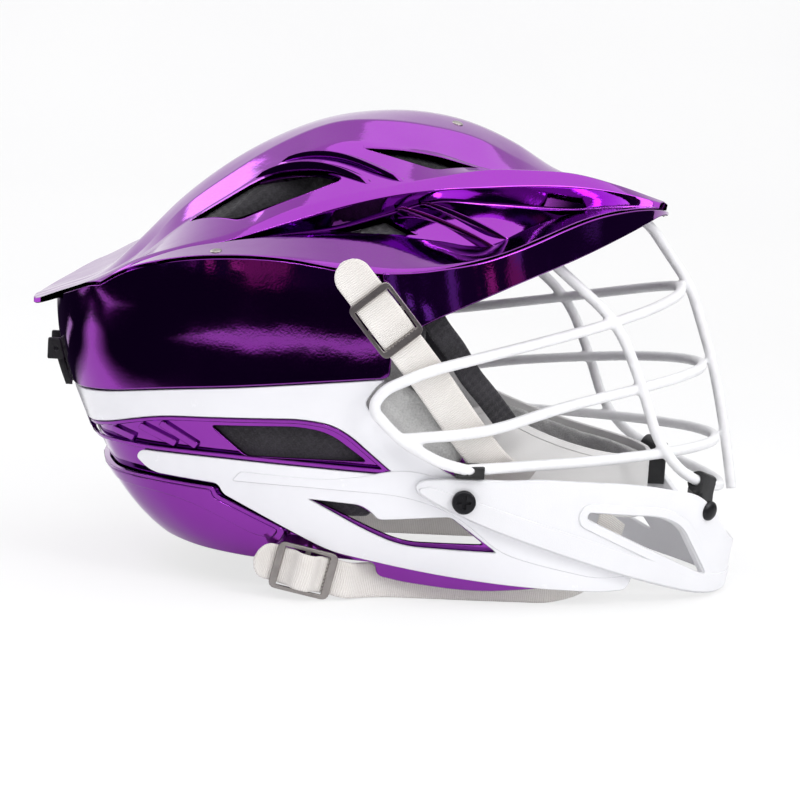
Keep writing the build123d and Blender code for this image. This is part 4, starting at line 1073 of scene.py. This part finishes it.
roof_rows = []
for way, bend, after in zip(rail_ways, rail_bends, rail_ways[1:] + [rail_ways[-1] + 4.0]):
    roof_rows += [way - bend, way, way + bend] if bend else [way]
    steps = max(1, int((after - way) / row_gap))
    between = [way + (after - way) * k / steps for k in range(1, steps)]
    roof_rows += [row for row in between if way + bend + crease_land < row < after - row_land]
roof_rows = sorted(set(round(row, 3) for row in roof_rows if 0.5 < row < rail_ways[-1]))
roof_columns = np.linspace(first_column, roof_front - 0.6, column_count)
roof_spots = [(x, v) for v in roof_rows for x in roof_columns]
crease_ways = {round(way + side * bend, 3) for way, bend in zip(rail_ways, rail_bends) for side in (-1, 0, 1)}
crease_rows = [list(range(k * len(roof_columns), (k + 1) * len(roof_columns)))
               for k, row in enumerate(roof_rows) if row in crease_ways]
roof = plate(roof_outline, vent_loops, roof_top, roof_under, ease=0.55, rows=crease_rows, spots=roof_spots)


def roof_height(x, y):
    """Height of the roof over a place near its edge."""
    ways = np.linspace(rail_ways[-1], 0.0, 400)
    points = roof_top(np.full(400, x), ways)
    first = int(np.argmax(np.abs(points[:, 1]) <= y))
    return float(points[first, 2])


wall_guess, wall_rounds = 0.62 * crown_height, 14


def wall_top(way):
    """Height at which the body's wall meets the roof, at a way along the plan."""
    z = wall_guess
    for _ in range(wall_rounds):
        x, y, _ = skin(crown_out)(np.array(way * plan_length), np.array(z))
        z = 0.5 * z + 0.5 * roof_height(float(x), abs(float(y)))
    return z


# The wall's lower edge runs forward from the rear, turns up at the corner and ends under the roof's front
wall_sunk = 1.4
wall_end, wall_turn, wall_rear_top = 0.682 * crown_height, 0.478 * crown_height, 0.40 * crown_height
wall_rear, wall_corner = -160.0, 6.0

wall_front = skin_place(*sized(crown_wall_shares[:1])[0], crown_out)[0]
wall_tops = [(way * plan_length, wall_top(way) - wall_sunk)
             for way in np.linspace(0.0, wall_front / plan_length, 60)]
wall_edge = rounded(sized(crown_wall_shares + [(-1.15, 0.60), (-0.60, 0.75)]), 3.0)
wall_edge = [skin_place(x, z, crown_out) for x, z in wall_edge
             if z < wall_end and (x >= wall_rear or z <= wall_rear_top)]
wall_foot = sorted([(way, z) for way, z in wall_edge if z < wall_turn], key=lambda place: place[0])
wall_rise = [(way, z) for way, z in wall_edge
             if z >= wall_turn and (z < crown_height / 2 or way > wall_front - wall_corner)]
wall_rise.sort(key=lambda place: place[1])
crown_wall = plate(wall_foot + wall_rise + wall_tops[::-1], [], skin(crown_out), skin(crown_in), ease=0.6)

# Louvre fins on the roof and in the channels: their ends, height and width
roof_fin_shares = [((-0.43, 0.335), (-0.155, 0.595)), ((-0.365, 0.335), (-0.07, 0.60))]
channel_fin_shares = [((-0.07, 0.60, 0.800), (0.19, 0.70, 0.725)),
                      ((-0.01, 0.575, 0.812), (0.23, 0.655, 0.738))]
roof_fin, channel_fin = (4.2, 2.6), (3.4, 1.0)
fin_sink = 2.5


def tube(rings, size):
    """Faces of a closed tube of rings, with its two ends."""
    faces = []
    for ring in range(rings - 1):
        for step in range(size):
            a, b = ring * size + step, ring * size + (step + 1) % size
            faces.append((a, a + size, b + size, b))
    return faces + [tuple(range(size)), tuple(reversed(range(size * (rings - 1), size * rings)))]


def over_roof(x, y):
    """Place on the roof's top over a place on the plan."""
    return roof_top(x, across_roof(x, y))[0]


def fin(path, high, wide):
    """Louvre fin: steep behind, flat on its crest and sloping in front, its foot sunk into the roof."""
    sections = []
    for k, place in enumerate(path):
        s = k / (len(path) - 1)
        rise = high * (0.12 + 0.88 * math.sin(math.pi * s) ** 0.45)
        crest = place + (0, 0, rise)
        foot = place - (0, 0, fin_sink)
        sections.append([foot, crest - (0, 0, 0.5), crest - (0, 0, 0.15), crest + (0.15, 0, 0),
                         crest + (wide, 0, -0.12 * wide), crest + (wide + 0.2, 0, -0.16 * wide - 0.25),
                         foot + (wide + high * 1.2 + 1.5, 0, 0)])
    points = np.array([p for section in sections for p in section])
    faces = tube(len(path), len(sections[0]))
    normals = np.zeros_like(points)
    for face in faces:
        a, b, c = (points[index] for index in face[:3])
        normal = np.cross(b - a, c - b)
        for index in face:
            normals[index] += normal
    size = np.maximum(np.linalg.norm(normals, axis=1), 1e-9)[:, None]
    return points, faces, normals / size


right_corner = np.array([half_length, -half_width, crown_height])
fin_steps = np.linspace(0.0, 1.0, 18)
fins = []
for (x0, y0), (x1, y1) in roof_fin_shares:
    path = [over_roof((x0 + (x1 - x0) * s) * half_length, (y0 + (y1 - y0) * s) * half_width)
            for s in fin_steps]
    fins.append(fin(path, *roof_fin))
for start, end in channel_fin_shares:
    path = [(np.array(start) * (1 - s) + np.array(end) * s) * right_corner for s in fin_steps]
    fins.append(fin(path, *channel_fin))
single("crown_skin", whole(joined(roof, crown_wall, *fins)), "chrome_violet", ("crown_shell",))


# Raised edges of the chin guard and the side panels

guard_step_shares = [
    (0.004, 0.257), (0.035, 0.262), (0.20, 0.222), (0.42, 0.166), (0.66, 0.100), (0.86, 0.047), (1.06, 0.040),
    (1.06, 0.005), (0.86, 0.005), (0.63, 0.0585), (0.39, 0.124), (0.17, 0.1845), (0.040, 0.231),
    (0.006, 0.247),
]
panel_step_shares = [
    (-0.04, 0.292), (0.05, 0.281), (0.135, 0.253), (0.20, 0.204), (0.39, 0.138), (0.585, 0.066),
    (0.50, 0.064), (0.32, 0.100), (0.23, 0.122), (0.10, 0.205), (-0.03, 0.236), (-0.30, 0.240),
    (-0.46, 0.240), (-0.44, 0.262), (-0.20, 0.258),
]
step_sink = 0.8


def layer_on(outline, holes, base, rise, gap=0.0):
    """Low step moulded on a shell's outer face."""
    cuts = [laid(hole, base, gap) for hole in holes]
    return plate(skin_loop(outline, base, gap, 1.6), cuts, skin(base + rise), skin(base - step_sink), 0.4)


guard_rim, guard_opening = (loop_inside(guard_vent_shares, -width) for width in (guard_rim_width, 0.4))
guard_frame = layer_on(guard_rim, [guard_opening], guard_out, 0.8)
guard_step = layer_on(guard_step_shares, [], guard_out, 0.7)
single("chin_guard_edges", whole(joined(guard_frame, guard_step)), "white_satin", ())
panel_step = layer_on(panel_step_shares, [disc(guard_screw_share, 3.0)], panel_out, 0.45, panel_gap)
pair("side_panel_step", panel_step, "white_gloss")


# Face mask: coated wires, with fillets of the coating at their welds, and the small parts round it

mask_nodes = ("mask_frame", "mask_middle_bar", "mask_lower_bar", "mask_side_bars", "mask_centre_bar")
moulded(mask_nodes, "face_mask", 0.75)
for node in ("chin_clips", "side_clips", "top_clips", "latch_ears"):
    moulded((node,), node + "_moulded", 0.42)
for node in ("chin_guard_screws", "chin_guard_nuts", "strap_snaps", "tail_clips"):
    eased(node, 0.3)
eased("fit_latch", 0.7, 3)
eased("latch_pin", 0.15)


# Heads of the rivets on the roof, and of the chin clips' screws on the guard

rivet_spots = [(-90.1, 87.8), (18.7, 10.45)]
rivet_profile = [(2.6, -1.3), (2.6, 0.05), (2.35, 0.35), (1.7, 0.6), (0.9, 0.72), (0.15, 0.75)]
clip_screw_spot = (139.06, 42.8)
clip_screw_profile = [(2.0, -8.0), (2.0, -0.6), (4.5, -0.6), (4.6, 0.2), (4.4, 0.9), (3.7, 1.55), (2.5, 2.0),
                      (1.2, 2.2), (0.2, 2.25)]
head_steps = 28
lean_step = 1.5


def turned(centre, up, profile):
    """Round head about an axis, from its foot to its crown."""
    up = np.array(up) / np.linalg.norm(up)
    side = np.cross(up, (1.0, 0.0, 0.0))
    side /= np.linalg.norm(side)
    ahead = np.cross(side, up)
    turns = [math.tau * step / head_steps for step in range(head_steps)]
    points = [centre + ahead * math.cos(turn) * radius + side * math.sin(turn) * radius + up * rise
              for radius, rise in profile for turn in turns]
    return np.array(points), tube(len(profile), head_steps)


def heads(name, shapes, slot, nodes):
    """Round heads and their mirror images as one piece."""
    points, faces = [], []
    for shape_points, shape_faces in shapes:
        for turn in (1.0, -1.0):
            count = sum(len(p) for p in points)
            points.append(shape_points * (1, turn, 1))
            faces += [tuple(i + count for i in (face if turn > 0 else reversed(face)))
                      for face in shape_faces]
    add_piece(name, np.concatenate(points), faces, slot, "helmet", nodes)


def roof_head(x, y):
    """Rivet's head on the roof over a place, on the right side."""
    here = roof_height(x, y)
    lean_x, lean_y = roof_height(x + lean_step, y) - here, here - roof_height(x, y - lean_step)
    return turned(np.array([x, -y, here]), (-lean_x / lean_step, lean_y / lean_step, 1.0), rivet_profile)


clip_spot = np.array([skin_place(*clip_screw_spot, guard_out)])
clip_out = surface_normals(skin(guard_out), clip_spot)[0]
clip_centre = skin(guard_out)(clip_spot[:, 0], clip_spot[:, 1])[0]
heads("shell_rivet_heads", [roof_head(x, y) for x, y in rivet_spots], "steel_dark", ("shell_rivets",))
clip_head = turned(clip_centre, clip_out, clip_screw_profile)
heads("chin_clip_screw_heads", [clip_head], slot_of["chin_clip_screws"], ("chin_clip_screws",))


# Chin cup

cup_centre, cup_long, cup_wide, cup_wall = 10.2, 112.0, 76.0, 2.5
cup_shares = [(0.12, 0.400), (0.19, 0.415), (0.36, 0.350), (0.56, 0.305), (0.75, 0.290), (0.75, 0.150),
              (0.58, 0.165), (0.36, 0.215), (0.19, 0.275), (0.11, 0.330)]
cup_unroll = 95.0
cup_border_width, cup_border_depth, cup_step = 3.2, 1.2, 0.5


def cup_skin(offset):
    """Place on the cup's oval, by the way round it and the height."""
    def place(u, v):
        turn = np.clip(math.pi - u / cup_unroll, 0.0, math.pi)
        return np.stack([cup_centre + (cup_long + offset) * np.cos(turn), -(cup_wide + offset) * np.sin(turn),
                         np.asarray(v, float)], -1)
    return place


def cup_place(x, z):
    """Way round the cup's oval and height of a place seen from the side."""
    return (math.pi - math.acos(min(max((x - cup_centre) / cup_long, -1.0), 1.0))) * cup_unroll, z


cup_loop = [cup_place(x, z) for x, z in rounded(sized(cup_shares), 5.0)]
cup_inner = [cup_place(x, z) for x, z in sized(loop_inside(cup_shares, cup_border_width))]
cup_body = plate(cup_loop, [], cup_skin(-cup_step), cup_skin(-cup_wall), 0.6)
cup_border = plate(cup_loop, [cup_inner], cup_skin(0.0), cup_skin(-cup_border_depth), 0.45)
single("chin_cup_shell", whole(joined(cup_body, cup_border)), "cup_white", ("chin_cup",))


# Straps and their sliders

strap_wide, strap_thick = 16.0, 1.4
strap_section = [(-1.0, 0.35), (-0.94, 0.85), (-0.80, 1.0), (0.0, 1.0), (0.80, 1.0), (0.94, 0.85),
                 (1.0, 0.35), (1.0, -0.35), (0.94, -0.85), (0.80, -1.0), (0.0, -1.0), (-0.80, -1.0),
                 (-0.94, -0.85), (-1.0, -0.35)]
slider_long, slider_wide, slider_thick, slider_end, slider_side = 27.0, 21.0, 1.6, 3.3, 1.9
slider_bar, slider_bar_sunk = 1.2, 0.1
tooth_count, tooth_depth, tooth_foot = 19, 0.75, 0.4
outward = np.array([0.0, -1.0, 0.0])


def flat_at(centre, run, height):
    """Place on a slider's plane by its way along the strap and across it."""
    run = np.array(run) / np.linalg.norm(run)
    over = np.cross(outward, run)

    def place(u, v):
        u, v = np.asarray(u, float), np.asarray(v, float)
        return centre + u[..., None] * run + v[..., None] * over + outward * height
    return place


def slider_plate(centre, run):
    """Plated frame with round corners, teeth on the bar that grips, and its middle bar."""
    half, side, thin = slider_long / 2, slider_wide / 2, slider_thick / 2
    low, high, wide = -half + slider_end, half - slider_end, side - slider_side
    teeth = [(high - (tooth_depth if k % 2 else 0.0), -wide + 1.0 + (2 * wide - 2.0) * k / (tooth_count - 1))
             for k in range(tooth_count)]
    window = [(low, -wide), (high - tooth_foot, -wide)] + teeth + [(high - tooth_foot, wide), (low, wide)]
    rim = rounded([(-half, -side), (half, -side), (half, side), (-half, side)], 3.4, 1.2)
    rim_part = plate(rim, [window], flat_at(centre, run, thin), flat_at(centre, run, -thin), 0.4, 2.4)
    reach, thin = wide + 0.6, thin - slider_bar_sunk
    corners = [(-slider_bar, -reach), (slider_bar, -reach), (slider_bar, reach), (-slider_bar, reach)]
    bar_loop = rounded(corners, 0.4, 1.2)
    bar_part = plate(bar_loop, [], flat_at(centre, run, thin), flat_at(centre, run, -thin), 0.35, 2.4)
    return joined(rim_part, bar_part)


def smooth_path(points, step=1.2):
    """Even points along a smooth curve through the given ones."""
    points = np.array(points, float)
    way = np.concatenate([[0.0], np.cumsum(np.linalg.norm(np.diff(points, axis=0), axis=1) ** 0.7)])
    curves = [through(way, points[:, axis]) for axis in range(3)]
    at = np.linspace(0.0, way[-1], 900)
    dense = np.stack([curve(at) for curve in curves], -1)
    run = np.concatenate([[0.0], np.cumsum(np.linalg.norm(np.diff(dense, axis=0), axis=1))])
    even = np.linspace(0.0, run[-1], int(run[-1] / step))
    return np.stack([np.interp(even, run, dense[:, axis]) for axis in range(3)], -1), even


def strap(name, points, nodes, wide=strap_wide, thick=strap_thick, slot="webbing"):
    """Webbing with a rounded free end and pressed edges, turned no more than its path turns it."""
    path, ways = smooth_path(points)
    half, thin = wide / 2, thick / 2
    normal = outward
    places, weave, last = [], [], len(path) - 1
    for index, centre in enumerate(path):
        along = path[min(index + 1, last)] - path[max(index - 1, 0)]
        along /= np.linalg.norm(along)
        across = np.cross(along, normal)
        across /= np.linalg.norm(across)
        normal = np.cross(across, along)
        share = min(ways[index] / half, 1.0)
        reach = half * max(math.sqrt(1 - (1 - share) ** 2), 0.12)
        for w, t in strap_section:
            places.append(centre + across * w * reach + normal * t * thin)
            weave.append((ways[index] * MM, w * reach * MM))
    faces = tube(len(path), len(strap_section))
    for side, turn in (("right", 1.0), ("left", -1.0)):
        shown = faces if turn > 0 else [tuple(reversed(face)) for face in faces]
        add_piece(name + "_" + side, [(x, y * turn, z) for x, y, z in places], shown, slot, "helmet",
                  tuple(node + "_" + side for node in nodes), weave=weave)


def through_slider(centre, run, free, lift, hump):
    """Strap's points from its free end, under the slider's end bars and over its middle bar."""
    run = np.array(run) / np.linalg.norm(run)
    half = slider_long / 2
    steps = [(-free, lift), (-half - 3.0, -1.8), (-half + 2.0, -1.9), (-6.0, 0.2), (-2.6, hump - 0.4),
             (0.0, hump), (2.6, hump - 0.4), (6.0, 0.2), (half - 2.0, -1.9), (half + 6.5, -2.1)]
    return [centre + u * run + n * outward for u, n in steps]


upper_centre = np.array([-19.04, -(float(width_of(126.9)) + crown_out + 5.9), 126.9])
lower_centre = np.array([-45.05, -82.0, 13.27])
upper_run, lower_run = (0.65, 0.0, -0.76), (0.955, 0.0, -0.20)
upper_lead_shares = [(0.020, 0.985, 0.470), (0.075, 0.955, 0.414), (0.130, 0.928, 0.360),
                     (0.190, 0.880, 0.306), (0.245, 0.800, 0.272), (0.300, 0.690, 0.255)]
lower_lead_shares = [(-0.105, 0.722, 0.0405), (-0.050, 0.694, 0.0400), (0.02, 0.687, 0.0398),
                     (0.15, 0.689, 0.0395), (0.29, 0.687, 0.0395), (0.39, 0.675, 0.0410),
                     (0.47, 0.640, 0.0600), (0.53, 0.580, 0.112), (0.565, 0.512, 0.175)]
ear_band_shares = [(-0.011, 0.930, 0.632), (0.024, 0.925, 0.583), (0.075, 0.906, 0.534),
                   (0.119, 0.880, 0.484), (0.173, 0.845, 0.437), (0.234, 0.795, 0.381)]

# Slider's middle and run, the strap's free end, its lift and hump, and the rest of the strap's way
for name, centre, run, free, lift, hump, lead_shares in (
        ("upper", upper_centre, upper_run, 30.0, -1.9, 2.6, upper_lead_shares),
        ("lower", lower_centre, lower_run, 22.0, 1.6, 5.0, lower_lead_shares)):
    lead = list(np.array(lead_shares) * right_corner)
    strap(name + "_webbing", through_slider(centre, run, free, lift, hump) + lead, (name + "_strap",))
    pair(name + "_slider_plate", slider_plate(centre, run), slot_of[name + "_slider_right"], name + "_slider")
strap("ear_band", np.array(ear_band_shares) * right_corner, (), 10.0, 1.8, "foam_black")


# Camera, light and floor

camera_turn, camera_rise, camera_roll = -6.5, 7.8, 3.7
camera_target = Vector((1.6, 0.0, 78.6))
camera_distance = 1000.0
camera_lens, camera_sensor = 95.74, 36.0
floor_half = 2600.0
floor_rows = [(-1600.0, 0.0), (-600.0, 0.0), (0.0, 0.0), (700.0, 0.0), (1000.0, 20.0), (1250.0, 120.0),
              (1400.0, 300.0), (1460.0, 600.0), (1470.0, 2200.0)]

# Area lights: place and size in metres, and power in watts
light_aim = Vector((0.0, 0.0, 0.1))
soft_lights = [
    ("top_box", (0.1, -0.25, 1.3), (2.2, 1.6), 8.5), ("window_front", (0.55, -1.0, 1.05), (0.30, 0.14), 2.4),
    ("window_rear", (-0.35, -1.05, 1.0), (0.26, 0.12), 2.0), ("front_box", (0.9, -1.0, 0.75), (0.7, 0.7), 6.0),
    ("rear_box", (-0.9, 0.5, 0.8), (0.6, 0.8), 4.0),
]


def place_camera():
    """Camera at the photograph's angle, a little rolled."""
    turn, rise, roll = (math.radians(angle) for angle in (camera_turn, camera_rise, camera_roll))
    back = Vector((math.sin(turn) * math.cos(rise), -math.cos(turn) * math.cos(rise), math.sin(rise)))
    level = Vector((math.cos(turn), math.sin(turn), 0.0))
    raised = back.cross(level)
    right = level * math.cos(roll) + raised * math.sin(roll)
    up = raised * math.cos(roll) - level * math.sin(roll)
    lens = bpy.data.cameras.new("camera")
    lens.lens = camera_lens
    lens.sensor_width = camera_sensor
    camera = bpy.data.objects.new("camera", lens)
    bpy.context.scene.collection.objects.link(camera)
    turned = Matrix((right, up, back)).transposed().to_4x4()
    camera.matrix_world = Matrix.Translation((camera_target + back * camera_distance) * MM) @ turned
    bpy.context.scene.camera = camera


def seen_directly(finish):
    """1 where a camera, glossy or transmission ray meets the surface."""
    camera, glossy, transmission = finish.rays("Camera", "Glossy", "Transmission")
    return (camera + glossy + transmission).at_most(1.0)


def pale_floor():
    """Pale floor, evenly bright for the camera; for glossy rays it glows as a painted reflection: white below
    the object, dim with painted stripes further off and white behind.
    """
    finish = Finish("studio_floor")
    cloud = finish.noise(3.0, 2.0)
    colour = finish.mix(cloud.step(0.3, 0.7), (0.86, 0.86, 0.87), (0.90, 0.90, 0.90))
    matte = finish.node("BsdfDiffuse", None, {"Color": colour})
    across, ahead, _ = finish.parts_of(finish.node("NewGeometry", out="Position"))
    reach = ahead.size() + across.size() * 0.5
    # Painted reflection: stripes seen only by glossy rays.
    painted_reflection_stripes = (across * 13.0 + ahead * 5.0).sine()
    # Painted dimming of the reflection past about 0.3 m from the object; the floor itself goes on.
    edge = (reach + painted_reflection_stripes * 0.05).step(0.24, 0.36)
    # Painted light band, broken into stripes, in the reflection between about 0.5 and 0.68 m.
    band = reach.step(0.50, 0.56) * (1.0 - reach.step(0.60, 0.68)) * painted_reflection_stripes.step(-0.1, 0.3)
    backdrop = ahead.step(0.85, 1.05)
    painted_reflection_dim = (edge - band * 0.8) * (1.0 - backdrop)
    # Glossy rays see the floor glow with the painted reflection instead of its lit colour: in part near the
    # object, wholly further off.
    glossy, = finish.rays("Glossy")
    shade = finish.mix(glossy * painted_reflection_dim, (1.0, 1.0, 1.0), (0.012, 0.006, 0.02))
    white = finish.node("Emission", None, {"Color": shade, "Strength": 1.0})
    mirrored_share = glossy * (0.22 + painted_reflection_dim.step(0.0, 0.3) * 0.78 + backdrop * 0.6)
    share = (seen_directly(finish) * (1.0 - glossy) * 0.72 + mirrored_share).at_most(1.0)
    surface = finish.node("MixShader", None, {0: share, 1: matte, 2: white})
    finish.node("OutputMaterial", None, {"Surface": surface})
    return finish.owner


def studio_floor():
    """Flat floor that sweeps up into a backdrop behind the object."""
    points = [(side * floor_half, y, z) for y, z in floor_rows for side in (-1, 1)]
    faces = [(at, at + 1, at + 3, at + 2) for at in range(0, len(points) - 2, 2)]
    mesh = bpy.data.meshes.new("studio_floor")
    mesh.from_pydata([tuple(c * MM for c in p) for p in points], [], faces)
    mesh.polygons.foreach_set("use_smooth", [True] * len(mesh.polygons))
    mesh.materials.append(pale_floor())
    floor = bpy.data.objects.new("studio_floor", mesh)
    bpy.context.scene.collection.objects.link(floor)


def studio_world():
    """White behind and above the object, and the dim room on the photographer's side."""
    world = bpy.data.worlds.new("studio")
    bpy.context.scene.world = world
    sky = Finish("studio", world)
    across, ahead, height = sky.parts_of(sky.node("TexCoord", out="Generated"))
    room = 1.0 - height.size().step(0.12, 0.34)
    shelves = (height * 88.0).sine().step(0.1, 0.6) * (across * 60.0).sine().step(-0.2, 0.5)
    bays = (across * 11.0 + ahead * 7.0).sine().step(0.25, 0.7) * height.size().step(0.015, 0.05)
    posts = (across * 17.0 + 1.1).sine().step(0.86, 0.97)
    warm = (across * 7.0 - height * 9.0 + ahead * 3.0).sine().step(-0.1, 0.6)
    lamp = sky.mix(warm, (0.62, 0.66, 1.0), (1.0, 0.30, 0.50))
    lit_bays = shelves * bays + posts * 0.5
    dim = sky.mix(lit_bays.at_most(1.0) * 0.7, (0.02, 0.012, 0.035), lamp)
    glossy, = sky.rays("Glossy")
    seen = sky.mix(room * glossy, (1.0, 1.0, 1.0), dim)
    lit = sky.mix(seen_directly(sky), (0.62, 0.62, 0.64), seen)
    background = sky.node("Background", None, {"Color": lit, "Strength": 1.0})
    sky.node("OutputWorld", None, {"Surface": background})


def soft_light(name, place, size, power):
    """Area light that faces the object."""
    lamp = bpy.data.lights.new(name, "AREA")
    lamp.shape = "RECTANGLE"
    lamp.size, lamp.size_y = size
    lamp.energy = power
    light = bpy.data.objects.new(name, lamp)
    bpy.context.scene.collection.objects.link(light)
    light.location = place
    light.rotation_euler = (light_aim - Vector(place)).to_track_quat("-Z", "Y").to_euler()


place_camera()
studio_floor()
studio_world()
for light_name, place, size, power in soft_lights:
    soft_light(light_name, place, size, power)
bpy.context.scene.view_settings.view_transform = "Standard"
